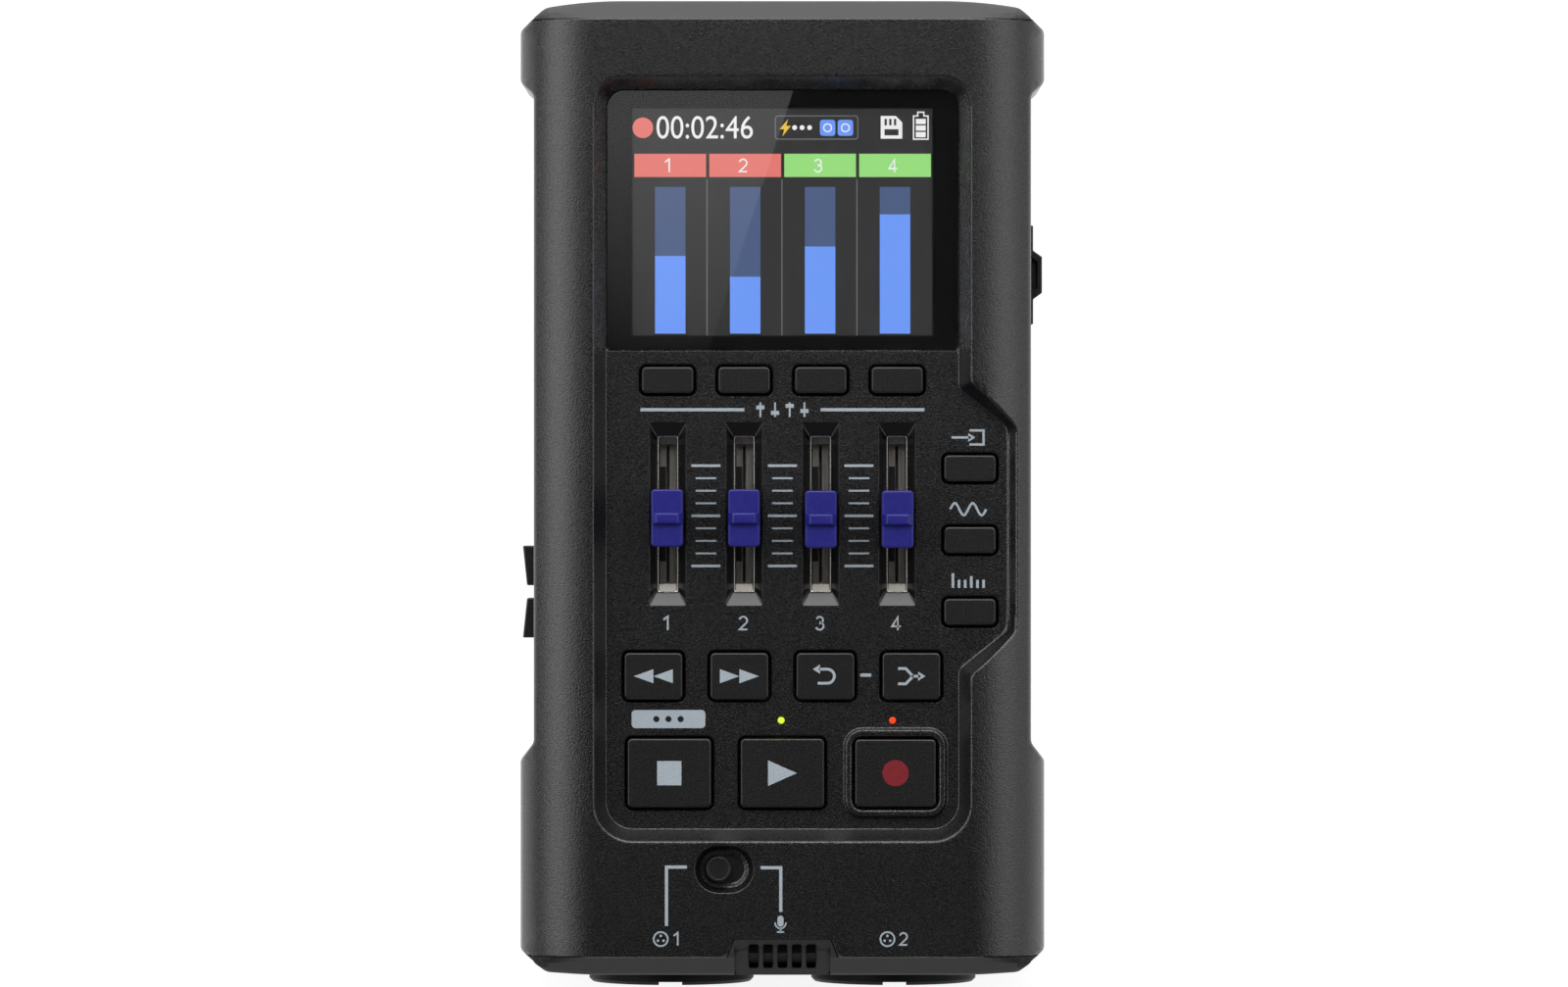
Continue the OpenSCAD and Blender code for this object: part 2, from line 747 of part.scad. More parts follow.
module bottom_case() {
    color(shell_grey) difference() {
        union() {
            difference() {
                sleeve(0, cap_front_y, cap_rear_y, 0, split_z);
                sleeve(wall, y_front, y_rear, floor_z, rim_z);
            }
            box(span(bay_w / 2 + bay_wall), [bay_y0 - bay_end_wall, bay_y1 + bay_end_wall],
                [floor_z - eps, bay_top_z + bay_end_wall]);
            both_sides() for (y = boss_y) rod([boss_x, y], boss_r, floor_z - eps, split_z - post_gap);
        }
        box(span(bay_w / 2), [bay_y0, bay_y1], [0, bay_top_z]);
        dovetail(slip, bay_y0 - bay_end_wall - slip, y_rear);
        both_sides() {
            for (y = boss_y) {
                rod([boss_x, y], case_head_r + slip, 0, case_seat_z);
                rod([boss_x, y], case_screw_r + slip, 0, split_z);
            }
            for (y = foot_y) rod([foot_x, y], foot_d / 2 + seat_gap, 0, foot_h + foot_sink);
        }
    }
}

// A cap's lip, which fits inside the two case halves. Its opening is moved out, so that it has no end wall.
module cap_lip(y0, y1, out) {
    difference() {
        sleeve(wall + seat_gap, y0, y1, 0, rim_z + 1);
        translate([0, out, 0])
            sleeve(wall + seat_gap + cap_lip_t, y0 - 2 * cap_lip_l, y1 + 2 * cap_lip_l, 0, rim_z + 1);
    }
}

module front_end_cap() {
    ramp_z = rim_z - cap_step;
    foot = [y_front - eps, ramp_z - cap_slope_drop - mic_ramp_inset];
    color(cap_grey) difference() {
        union() {
            difference() {
                end_block(0, y_front - 1, cap_front_y);
                end_block(wall, y_front - 1, cap_front_y + 1);
            }
            cap_lip(cap_front_y - eps, cap_front_y + cap_lip_l, -cap_lip_t);
            along_z(ramp_z - mic_tongue_h, ramp_z) mic_outline(0);
        }
        for (s = [-1, 1]) translate([s * socket_pitch / 2, y_front - 1, socket_z]) rotate([-90, 0, 0])
            cylinder(r = collar_r + seat_gap, h = front_cap_l + cap_lip_l + 2);
        along_x(-mic_half_top, mic_half_top)
            polygon([[mic_ramp_y, ramp_z], [mic_ramp_y, ramp_z + 1], [foot[0] - 1, ramp_z + 1],
                     [foot[0] - 1, foot[1]], foot]);
        for (i = [-2:2])
            bar([i * mic_slot_pitch, (mic_slot_y[0] + mic_slot_y[1]) / 2], mic_slot_w,
                mic_slot_y[1] - mic_slot_y[0], socket_z + collar_r, rim_z + 1);
    }
}

module rear_end_cap() {
    color(cap_grey) difference() {
        union() {
            difference() {
                end_block(0, cap_rear_y, y_rear + 1);
                end_block(wall, cap_rear_y - 1, y_rear + 1);
            }
            difference() {
                cap_lip(cap_rear_y - cap_lip_l, cap_rear_y + eps, cap_lip_t);
                box(span(bay_w / 2 + bay_wall + slip), [0, y_rear], [0, bay_top_z + bay_end_wall + slip]);
            }
        }
        dovetail(slip, cap_rear_y - 2, y_rear + 1);
    }
}

module battery_door() {
    color(shell_grey) difference() {
        intersection() {
            dovetail(0, bay_y0 - bay_end_wall, y_rear);
            union() {
                sleeve(0, 0, cap_rear_y + eps, 0, floor_z + 1);
                end_block(0, cap_rear_y, y_rear);
            }
        }
        for (i = [0:door_grip_n - 1])
            bar([0, bay_y0 + door_grip_y + i * door_grip_pitch], door_grip_w, door_grip_l,
                0, foot_h + door_grip_depth);
    }
}

module display_window() {
    color([0.05, 0.05, 0.06]) along_z(panel_z - window_t, panel_z) window_outline(0);
}

module lcd_module() {
    color([0.12, 0.14, 0.2]) bar([0, screen_y], lcd_w, lcd_l, lcd_z, lcd_z + lcd_t);
}

module lcd_bracket() {
    rail = 3;
    color(black) difference() {
        bar([0, screen_y], lcd_w, lcd_l, board_z, lcd_z);
        bar([0, screen_y], lcd_w - 2 * rail, lcd_l - 2 * rail, board_z - 1, lcd_z + 1);
    }
}

module main_board() {
    color(board_green) difference() {
        box(span(inner_x - board_edge), [selector_y - board_front, panel_top + board_rear],
            [board_under_z, board_z]);
        both_sides() {
            for (y = boss_y) rod([boss_x, y], boss_r + slip, board_under_z - 1, board_z + 1);
            for (p = board_boss) rod(p, board_screw_r + slip, board_under_z - 1, board_z + 1);
        }
    }
}

module jack_board() {
    color(board_green) translate([0, socket_rear_y, socket_z])
        box(span((socket_pitch + collar_d) / 2), [0, board_t], span(collar_r));
}

// A button: cap with a chamfered edge, flange that stops under the panel, and stem
module button(k) {
    top = panel_z + key_h;
    flange_z = ceiling_z - seat_gap;
    stem_z = board_z + switch_body_h + switch_plunger_h + key_travel + eps;
    color(key_grey) translate([k[0], k[1], 0]) {
        hull() {
            along_z(flange_z - flange_t, top - key_chamfer) polygon(round_rect(k[2], k[3], key_r));
            along_z(top - eps, top)
                polygon(round_rect(k[2] - 2 * key_chamfer, k[3] - 2 * key_chamfer, key_r - key_chamfer));
        }
        bar([0, 0], k[2] + 2 * flange_out, k[3] + 2 * flange_out, flange_z - flange_t, flange_z);
        bar([0, 0], stem_w, stem_w, stem_z, flange_z);
    }
}

module button_switches() {
    color(metal) for (k = ALL_KEYS) {
        bar([k[0], k[1]], switch_w, small_key_l, board_z, board_z + switch_body_h);
        rod([k[0], k[1]], switch_plunger_r, board_z, board_z + switch_body_h + switch_plunger_h);
    }
}

function knob_y(i) = fader_y + fader_rest[i];

module fader_knob(i) {
    base = panel_z + knob_under;
    top = panel_z + knob_h;
    deck = top - ridge_h;
    half = knob_w / 2;
    end = knob_l / 2;
    color([0.12, 0.12, 0.5]) translate([channel_x[i], knob_y(i), 0]) difference() {
        intersection() {
            along_x(-knob_w / 2, knob_w / 2)
                polygon([[-end, base], [end, base], [end, deck - knob_cut], [end - knob_cut, deck],
                         [ridge_base / 2, deck], [ridge_top / 2, top], [-ridge_top / 2, top],
                         [-ridge_base / 2, deck], [knob_cut - end, deck], [-end, deck - knob_cut]]);
            along_y(-knob_l, knob_l)
                polygon([[-half, base], [half, base], [half, deck - knob_cut], [half - knob_cut / 2, deck],
                         [half - ridge_inset, top], [ridge_inset - half, top],
                         [knob_cut / 2 - half, deck], [-half, deck - knob_cut]]);
        }
        bar([0, 0], lever_w + seat_gap, lever_l + seat_gap, base - 1, base + lever_grip);
    }
}

module fader_lever(i) {
    carriage_z = board_z + pot_wall + slip;
    color(metal) translate([channel_x[i], knob_y(i), 0]) {
        bar([0, 0], lever_w, lever_l, carriage_z, panel_z + knob_under + lever_grip - seat_gap);
        bar([0, 0], carriage_w, lever_l, carriage_z, carriage_z + carriage_h);
    }
}

module fader_housings() {
    slot = fader_travel + 2 * max([for (r = fader_rest) abs(r)]) + lever_l + 2 * slip;
    color(metal) for (x = channel_x) difference() {
        bar([x, fader_y], pot_w, pot_l, board_z, board_z + pot_h);
        bar([x, fader_y], pot_w - 2 * pot_wall, pot_l - 2 * pot_wall,
            board_z + pot_wall, board_z + pot_h - pot_wall);
        bar([x, fader_y], pot_slot_w, slot, board_z + pot_h - 1, board_z + pot_h + 1);
    }
}

// The selector knob rests at the left end of its travel
module selector_knob() {
    top = selector_plate_z;
    color(black) translate([selector_x - selector_travel / 2, selector_y, 0]) {
        rod([0, 0], selector_d / 2, top - eps, rim_z - knob_sink);
        bar([0, 0], selector_plate_l, selector_plate_w, top - selector_plate_t, top);
        bar([0, 0], selector_stem_w, selector_stem_w, selector_stem_z, top);
    }
}

module selector_switch() {
    color(metal)
        bar([selector_x, selector_y], selector_switch_w, selector_switch_l,
            board_z, selector_stem_z - seat_gap);
}

module power_slider() {
    out = waist_x - power_pocket + seat_gap;
    face = out + power_plate_t;
    tip = face + power_grip_h;
    base = power_grip_base / 2;
    crown = power_grip_top / 2;
    hollow = power_grip_wall;
    inner = inner_x - seat_gap - slip;
    h = power_plate_h / 2;
    color(black) translate([0, power_y, side_z]) difference() {
        union() {
            box([out, face], span(power_plate_l / 2), span(h));
            along_z(-h, h) polygon([[face - eps, -base], [tip, -crown], [tip, crown], [face - eps, base]]);
            box([inner - eps, out + eps], span(power_stem_l / 2), span(power_stem_h / 2));
            box([inner - power_bar_t, inner], span(power_stem_l / 2), span(power_bar_h / 2));
        }
        along_z(h - power_hollow, h + 1)
            polygon([[out + power_skin, hollow - base], [tip - hollow, hollow - crown],
                     [tip - hollow, crown - hollow], [out + power_skin, base - hollow]]);
    }
}

module power_switch() {
    inner = inner_x - 2 * (seat_gap + slip) - power_bar_t;
    color(metal) box([inner - power_switch_w, inner],
                     [power_y - power_switch_l / 2, power_y + power_switch_l / 2],
                     [side_z - power_bar_h / 2 - power_switch_lip, board_under_z]);
}

// A volume button: s is 1 for the one nearer the display, whose high tip points to it
module volume_button(s) {
    half = volume_key_l / 2;
    seat = -inner_x + seat_gap;
    color(black) translate([0, volume_y + s * (volume_gap / 2 + half), side_z]) {
        along_z(-volume_key_h / 2, volume_key_h / 2)
            polygon([[seat + eps, -half], [seat + eps, half],
                     [-waist_x - (s > 0 ? volume_tip : volume_low), half],
                     [-waist_x - (s > 0 ? volume_low : volume_tip), -half]]);
        box([seat, seat + volume_flange_t], span(half + flange_out), span(volume_key_h / 2 + flange_out));
    }
}

module volume_switches() {
    face = -inner_x + seat_gap + volume_flange_t + volume_travel + eps;
    color(metal) for (s = [-1, 1])
        translate([0, volume_y + s * (volume_gap + volume_key_l) / 2, 0])
            box([face, face + volume_switch_w], span(volume_switch_l / 2),
                [side_z - volume_switch_low, board_under_z]);
}

module light_pipe(x, tint) {
    top = ceiling_z - seat_gap;
    color(tint) {
        rod([x, light_y], light_r, board_z + emitter_h + slip, panel_z + light_rise);
        rod([x, light_y], light_r + light_flange_out, top - flange_t, top);
    }
}

module indicator_leds() {
    color("ivory") for (x = light_x)
        bar([x, light_y], emitter_w, emitter_h, board_z, board_z + emitter_h);
}

// Input sockets are turned from their length axis, which points out of the front
module turned(x) { translate([x, 0, socket_z]) rotate([90, 0, 0]) children(); }

module jack_housing(x) {
    front = collar_proud - y_front;
    tail = core_tail_r + seat_gap;
    color(black) difference() {
        turned(x) rotate_extrude() polygon([
            [tail, -socket_rear_y], [collar_r, -socket_rear_y], [collar_r, front - collar_edge],
            [collar_r - collar_edge, front], [collar_bore_r + collar_edge, front],
            [collar_bore_r, front - collar_edge], [collar_bore_r, -socket_floor_y], [tail, -socket_floor_y]
        ]);
        translate([x, -front, socket_z])
            box(span(collar_notch_w / 2), [-1, collar_notch_h], [collar_bore_r, collar_r + 1]);
    }
}

module jack_core(x) {
    color(black) turned(x) difference() {
        union() {
            translate([0, 0, -socket_floor_y]) cylinder(r = core_r, h = socket_floor_y - core_front_y);
            translate([0, 0, -socket_rear_y])
                cylinder(r = core_tail_r, h = socket_rear_y - socket_floor_y + eps);
        }
        translate([0, 0, -core_front_y - plug_depth]) cylinder(d = plug_d, h = plug_depth + 1);
        for (a = [0, 180, 270])
            rotate(a) translate([pin_circle_r, 0, -core_front_y - pin_depth])
                cylinder(r = pin_r, h = pin_depth + 1);
    }
}

module mic_boot() {
    color(black) difference() {
        bar([0, mic_y], mic_boot_w, mic_boot_l, mic_boot_top - mic_boot_h, mic_boot_top);
        both_sides() rod([mic_x, mic_y], mic_r + thread_gap, mic_boot_top - mic_h, mic_boot_top + 1);
    }
}

module mic_capsules() {
    color(metal) both_sides()
        rod([mic_x, mic_y], mic_r, mic_boot_top - mic_h + thread_gap, mic_boot_top - mic_sink);
}

module mini_jack(y) {
    face = -inner_x + seat_gap;
    tip = -waist_x + mini_nose_sink;
    color(black) difference() {
        union() {
            translate([0, y, board_under_z])
                box([face, face + mini_l], span(mini_w / 2), [-mini_h, 0]);
            translate([tip, y, side_z]) rotate([0, 90, 0])
                cylinder(r = mini_nose_r, h = face - tip + eps);
        }
        translate([tip - 1, y, side_z]) rotate([0, 90, 0])
            cylinder(d = mini_plug_d, h = face - tip + mini_depth + 1);
    }
}

module usb_socket() {
    mouth = waist_x - 0.4;
    color(metal) translate([0, usb_y, board_under_z - usb_h / 2]) difference() {
        along_x(mouth - usb_l, mouth) polygon(round_rect(usb_w, usb_h, usb_h / 2 - eps, 6));
        along_x(mouth - usb_l + 1, mouth + 1)
            polygon(round_rect(usb_w - 2 * usb_sheet, usb_h - 2 * usb_sheet,
                               usb_h / 2 - usb_sheet - eps, 6));
    }
}

module card_socket() {
    color(metal) translate([inner_x - seat_gap, card_y, board_under_z]) difference() {
        box([-card_l, 0], span(card_w / 2), [-card_t, 0]);
        box([1 - card_l, 1], span(card_slot_w / 2), [usb_sheet - card_t, -usb_sheet]);
    }
}

function cell_y(i) = bay_y0 + (bay_l - 3 * cell_pitch) / 2 + i * cell_pitch;

// Cells alternate: each has its raised end on the other side from its neighbour
module batteries() {
    nub_l = 1;
    nub_r = 2.7;
    color("goldenrod") for (i = [0:3]) translate([0, cell_y(i), cell_z]) rotate([0, i % 2 ? -90 : 90, 0]) {
        translate([0, 0, -cell_l / 2]) cylinder(d = cell_d, h = cell_l - nub_l);
        translate([0, 0, cell_l / 2 - nub_l - eps]) cylinder(r = nub_r, h = nub_l + eps);
    }
}

// A contact plate on the bay wall with a raised spring leaf, at both ends of every cell
module battery_contacts() {
    leaf = contact_room - contact_t - seat_gap;
    color(metal) both_sides() for (i = [0:3]) translate([bay_w / 2, cell_y(i), cell_z]) {
        box([-contact_t, 0], span(contact_w / 2), span(contact_h / 2));
        along_z(-leaf_w / 2, leaf_w / 2)
            polygon([[eps - contact_t, -leaf_l / 2], [eps - contact_t, leaf_l / 2],
                     [-contact_t - leaf, leaf_tip / 2], [-contact_t - leaf, -leaf_tip / 2]]);
    }
}

module case_screws() {
    color(metal) both_sides() for (y = boss_y) {
        rod([boss_x, y], case_head_r, case_seat_z - case_head_h, case_seat_z);
        rod([boss_x, y], case_screw_r, case_seat_z - eps, case_seat_z + case_screw_l);
    }
}

module board_screws() {
    color(metal) both_sides() for (p = board_boss) {
        rod(p, board_head_r, board_under_z - board_head_h, board_under_z);
        rod(p, board_screw_r, board_under_z - eps, board_under_z + board_screw_l);
    }
}

module rubber_feet() {
    color(black) both_sides() for (y = foot_y) rod([foot_x, y], foot_d / 2, 0, foot_h + foot_sink);
}

top_case();
bottom_case();
front_end_cap();
rear_end_cap();
display_window();
lcd_module();
lcd_bracket();
main_board();
jack_board();
for (i = [0:3]) button(TRACK_KEYS[i]);
button(FUNCTION_KEYS[0]);  // input_button
button(FUNCTION_KEYS[1]);  // effect_button
button(FUNCTION_KEYS[2]);  // rhythm_button
button(MID_KEYS[0]);  // rewind_button
button(MID_KEYS[1]);  // forward_button
button(MID_KEYS[2]);  // undo_button
button(MID_KEYS[3]);  // bounce_button
button(STOP_KEY);  // stop_button
button(PLAY_KEY);  // play_button
button(RECORD_KEY);  // record_button
button_switches();
for (i = [0:3]) fader_knob(i);
for (i = [0:3]) fader_lever(i);
fader_housings();
selector_knob();
selector_switch();
power_slider();
power_switch();
volume_button(1);  // volume_up_button
volume_button(-1);  // volume_down_button
volume_switches();
light_pipe(light_x[0], "limegreen");  // play_light_pipe
light_pipe(light_x[1], "orangered");  // record_light_pipe
indicator_leds();
jack_housing(-socket_pitch / 2);  // jack_a_housing
jack_core(-socket_pitch / 2);  // jack_a_core
jack_housing(socket_pitch / 2);  // jack_b_housing
jack_core(socket_pitch / 2);  // jack_b_core
mic_capsules();
mic_boot();
mini_jack(phones_y);  // phones_jack
mini_jack(line_out_y);  // line_out_jack
usb_socket();
card_socket();
battery_door();
batteries();
battery_contacts();
case_screws();
board_screws();
rubber_feet();
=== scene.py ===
"""Looks of a portable four-track audio recorder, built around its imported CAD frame.

Lengths are millimetres in the frame's axes: +X right of the panel, +Y the display end, +Z up.
"""
import json
from math import acos, copysign, cos, dist, hypot, pi, radians, sin, tan

import bmesh
import bpy
import numpy as np
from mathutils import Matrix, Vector
from mathutils.geometry import delaunay_2d_cdt

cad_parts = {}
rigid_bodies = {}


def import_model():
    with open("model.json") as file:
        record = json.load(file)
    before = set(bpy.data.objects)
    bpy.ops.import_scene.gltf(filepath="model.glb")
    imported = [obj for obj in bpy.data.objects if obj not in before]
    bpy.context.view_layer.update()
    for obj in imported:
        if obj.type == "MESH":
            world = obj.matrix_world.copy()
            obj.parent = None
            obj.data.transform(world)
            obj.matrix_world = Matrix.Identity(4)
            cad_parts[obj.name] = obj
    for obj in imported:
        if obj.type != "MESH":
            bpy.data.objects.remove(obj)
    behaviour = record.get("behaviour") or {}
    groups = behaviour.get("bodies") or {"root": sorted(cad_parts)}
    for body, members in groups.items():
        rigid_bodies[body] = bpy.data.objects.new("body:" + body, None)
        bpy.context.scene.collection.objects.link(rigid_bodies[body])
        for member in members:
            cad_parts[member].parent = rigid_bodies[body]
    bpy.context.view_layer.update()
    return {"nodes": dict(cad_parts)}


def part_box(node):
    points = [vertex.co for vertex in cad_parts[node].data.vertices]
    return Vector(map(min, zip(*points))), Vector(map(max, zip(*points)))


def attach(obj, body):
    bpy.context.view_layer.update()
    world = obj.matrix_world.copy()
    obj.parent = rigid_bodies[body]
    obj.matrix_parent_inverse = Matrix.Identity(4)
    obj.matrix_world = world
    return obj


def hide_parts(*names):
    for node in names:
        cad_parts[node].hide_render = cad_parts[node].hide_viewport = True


for leftover in list(bpy.data.objects):
    bpy.data.objects.remove(leftover)
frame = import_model()
MM = 0.001
SAME, CLOSE, NEAR = 1e-6, 1e-4, 1e-3
SIDES = (-1, 1)


def reach(node):
    """Lowest and highest corner of a CAD node."""
    low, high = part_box(node)
    return np.array(low) / MM, np.array(high) / MM


def middle(node):
    low, high = reach(node)
    return (low + high) / 2


def size(node):
    low, high = reach(node)
    return high - low


def show(name, data):
    """A new object in the scene."""
    thing = bpy.data.objects.new(name, data)
    bpy.context.scene.collection.objects.link(thing)
    return thing


# Sizes read from the frame
TOP_LOW, TOP_HIGH = reach("top_case")
HALF_W, CAP_REAR_Y, RIM_Z = TOP_HIGH
CAP_FRONT_Y, SPLIT_Z = TOP_LOW[1:]
Y_FRONT, KEEL_Z = reach("front_end_cap")[0][1:]
TONGUE_Y, CAP_TOP = reach("front_end_cap")[1][1:]
Y_REAR = reach("rear_end_cap")[1][1]
WINDOW_LOW, WINDOW_HIGH = reach("display_window")
PANEL_Z = WINDOW_HIGH[2]
SCREEN_Z = reach("lcd_module")[1][2]
COLLAR_R = size("jack_a_housing")[0] / 2
SOCKETS = [middle("jack_a_housing")[[0, 2]], middle("jack_b_housing")[[0, 2]]]
FADERS = [1, 2, 3, 4]
FADER_X = [middle(f"fader_knob_{i}")[0] for i in FADERS]
FADER_Y = middle("fader_housings")[1]

# Buttons
TRACK_KEYS = [f"track_button_{i}" for i in FADERS]
FUNCTION_KEYS = ["input_button", "effect_button", "rhythm_button"]
MID_KEYS = ["rewind_button", "forward_button", "undo_button", "bounce_button"]
BIG_KEYS = ["stop_button", "play_button", "record_button"]
KEYS = TRACK_KEYS + FUNCTION_KEYS + MID_KEYS + BIG_KEYS
VOLUME_KEYS = ["volume_up_button", "volume_down_button"]
FLANGE = 0.5
KEY_R, KEY_EDGE_R, KEY_GAP, KEY_LIP = 0.7, 0.3, 0.36, 0.28

# Form of the shell
SHOULDER_RUN, SHOULDER_DROP = 11.75, 9.0
KEEL_R = 6.0
WAIST_X = HALF_W - 2.25
CORNER_DX, CORNER_DY = 4.2, 3.6
CORNER_R, CORNER_LEAST_R, CORNER_EDGE_R, STEP_R = 2.0, 0.3, 1.2, 1.8
BOW_RUN, BOW_R = 6.3, 60.0
FRONT_BOW, REAR_BOW = 0.5, 1.2
FRONT_BUMP = Y_FRONT + 33.7, Y_FRONT + 36.6
REAR_BUMP = Y_REAR - 14.9, Y_REAR - 12.8
WALL = 2.0
CEILING_Z = PANEL_Z - 2.0
EDGE_R, SEAM_R = 0.5, 0.25
SEAT_GAP, SLIP = 0.1, 0.2

# Form of the sunken panel and its side pocket
PANEL_W = 55.4
PANEL_TOP = WINDOW_HIGH[1] + SEAT_GAP
PANEL_BOTTOM = reach("stop_button")[0][1] - 2.97
PANEL_TOP_R, PANEL_BOTTOM_R = 2.7, 4.3
DEPTH = RIM_Z - PANEL_Z
BEVEL_RUN, POCKET_BEVEL = 1.7, 2.8
POCKET_X = middle("input_button")[0] + 6.04
POCKET_TOP = middle("input_button")[1] + 6.4
POCKET_BOTTOM = middle("rhythm_button")[1] - 2.9
POCKET_FLARE, POCKET_LAP = 6.2, 2.0
POCKET_RISE = POCKET_FLARE / (POCKET_X - PANEL_W / 2)
FLOOR_BLEND, POCKET_BLEND, JOIN_BLEND, RIM_BLEND = 0.35, 0.5, 0.9, 0.55
FLARE_BLEND, POCKET_END_BLEND = 0.6, 1.6

# Openings in the panel
SLOT_W, SLOT_L, SLOT_R, SLOT_LIP, SLOT_DROP = 5.66, 28.65, 0.25, 0.08, 0.85
SLOT_SIDE_RUN, SLOT_SIDE_DROP, SLOT_SKIRT = 0.6, 2.0, 0.9
SLOT_Y = FADER_Y + 0.2
MOUTH_W, MOUTH_L = 3.44, 24.8
WINDOW_R, WINDOW_TOP_R, WINDOW_LIP = 0.85, 2.7, 0.06
LIGHTS = ["play_light_pipe", "record_light_pipe"]
LIGHT_HOLE_R, LIGHT_LIP = 0.55, 0.12
GUARD_GAP, GUARD_R, GUARD_FOOT = 0.45, 1.6, 0.6
GUARD_SECTION = [(1.5, 0), (1.28, 0.03), (1.18, 0.12), (1.13, 0.35), (1.08, 0.66), (1.0, 0.82),
                 (0.86, 0.89), (0.7, 0.9), (0.36, 0.9), (0.2, 0.88), (0.08, 0.8), (0.01, 0.66),
                 (0, 0.5), (0, -GUARD_FOOT)]
SELECTOR_D, SELECTOR_TRAVEL = 4.04, 1.75
SELECTOR = (middle("selector_knob")[0] + SELECTOR_TRAVEL / 2, middle("selector_knob")[1])
DISH_W, DISH_DEPTH = 7.4, 1.7
STEM_EDGE = SELECTOR_D / 2 + SLIP - DISH_W / 2
DISH_SECTION = [(0.15, 0), (0.05, 0.02), (0, 0.08), (-0.1, 0.3), (-0.45, 1.1), (-0.62, 1.45),
                (-0.8, 1.64), (-1.0, DISH_DEPTH), (STEM_EDGE + 0.04, DISH_DEPTH),
                (STEM_EDGE, DISH_DEPTH + 0.04), (STEM_EDGE, DISH_DEPTH + 0.5)]

# Openings in the long sides
SIDE_LIP, SIDE_HOLE_R = 0.2, 0.4
JACK_D, ROUND_LEAST = 6.4, 0.01
POWER_TRAVEL, POWER_WELL = 2.0, 0.5
POWER_STEM_L, POWER_STEM_H = 4.0, 2.0
CARD_L, CARD_H, CARD_R = 11.6, 1.5, 0.3
USB_L, USB_H = 9.3, 3.6

# Form of the end caps and the microphone's block
CAP_L = CAP_FRONT_Y - Y_FRONT
SLOPE_DROP = 6.5
LOW_RUN, LOW_RISE = 2.4, 4.0
CAP_EDGE_R, CAP_BLEND = 0.4, 0.5
COLLAR_SECTION = [(0.3, 0), (0.17, 0.03), (0.08, 0.1), (0.02, 0.2), (0, 0.32), (0, CAP_L)]
DOOR_HALF, DOOR_TOP_HALF, DOOR_TOP = 26.9, 28.15, KEEL_Z + 2.2
MIC_HALF, MIC_BASE_HALF = 7.5, 8.6
MIC_RAMP_Y, MIC_BLEND = CAP_FRONT_Y + 1.15, 0.3
MIC_FOOT_Z = CAP_TOP - SLOPE_DROP - 0.7
MIC_SLOT_W, MIC_SLOT_R, MIC_SLOT_PITCH, MIC_SLOTS = 1.53, 0.35, 2.25, 5
MIC_SLOT_Y = CAP_FRONT_Y - 1.85, CAP_FRONT_Y + 2.05
MIC_SLOT_SECTION = [(0.16, 0), (0.06, 0.04), (0.01, 0.14), (0, 0.3), (0, 2.6)]
MIC_CLOTH = [(TONGUE_Y - 0.2, CAP_TOP - 2.2), (MIC_RAMP_Y + 0.5, CAP_TOP - 2.2),
             (MIC_RAMP_Y - 0.6, CAP_TOP - 2.4), (Y_FRONT + 0.9, MIC_FOOT_Z - 0.4)]
MIC_CREASES = (-0.2, -0.1, 0, 0.1, 0.2)

# Spacing of the lines that the meshes follow
COARSE, MEDIUM, SMALL, FINE = 3.0, 2.0, 1.5, 0.7
FILLET = [0.0, 0.035, 0.13, 0.3, 0.6, 1.0]
SHOULDER_TURN = 6
PANEL_STEPS = (-0.2, -0.08, 0, 0.1, 0.25, 0.6, 1.0, 1.35, 1.5, 1.6, 1.7, 1.8, 1.95, 2.2)
POCKET_STEPS = (-0.15, -0.06, 0, 0.06, 0.15, 0.3, 0.4, 0.45, 0.5, 0.55, 0.6, 0.7, 0.8, 0.9, 1.0, 1.1)
FOLD_STEP, FOLD_GAP, CORNER_GAP = 0.2, 1.7, 1.9
SLOPE_START, SLOPE_STEP, SLOPE_GAP = 1.2, 0.8, 2.3
SIDE_START, SIDE_END = 5, 8


# Outlines in the plane

def arc(c, rx, ry, start, end, n):
    turns = [radians(start + (end - start) * k / n) for k in range(n + 1)]
    return [(c[0] + rx * cos(t), c[1] + ry * sin(t)) for t in turns]


def tablet(x, low, high, r_low, r_high, n=6, cx=0.0):
    """An upright outline of half width x, with its own corner radius at each end."""
    return (arc((cx + x - r_high, high - r_high), r_high, r_high, 0, 90, n)
            + arc((cx - x + r_high, high - r_high), r_high, r_high, 90, 180, n)
            + arc((cx - x + r_low, low + r_low), r_low, r_low, 180, 270, n)
            + arc((cx + x - r_low, low + r_low), r_low, r_low, 270, 360, n))


def round_rect(w, l, r, centre=(0, 0), n=6):
    r = min(r, w / 2 - NEAR, l / 2 - NEAR)
    return tablet(w / 2, centre[1] - l / 2, centre[1] + l / 2, r, r, n, centre[0])


def circle(centre, r, n=48):
    return arc(centre, r, r, 0, 360 - 360 / n, n - 1)


def stadium(r, run, centre, n=16):
    right = arc((centre[0] + run, centre[1]), r, r, -90, 90, n)
    return right + arc((centre[0] - run, centre[1]), r, r, 90, 270, n)


def flat(loop, z):
    """An outline of the plane at the height z."""
    return [(x, y, z) for x, y in loop]


def mirrored(line):
    return [(-x, y) for x, y in reversed(line)]


def distinct(loop, least):
    """A closed outline without points that lie closer than least to the one before."""
    return [p for i, p in enumerate(loop) if dist(p, loop[i - 1]) > least]


def unit(v):
    return v / np.linalg.norm(v)


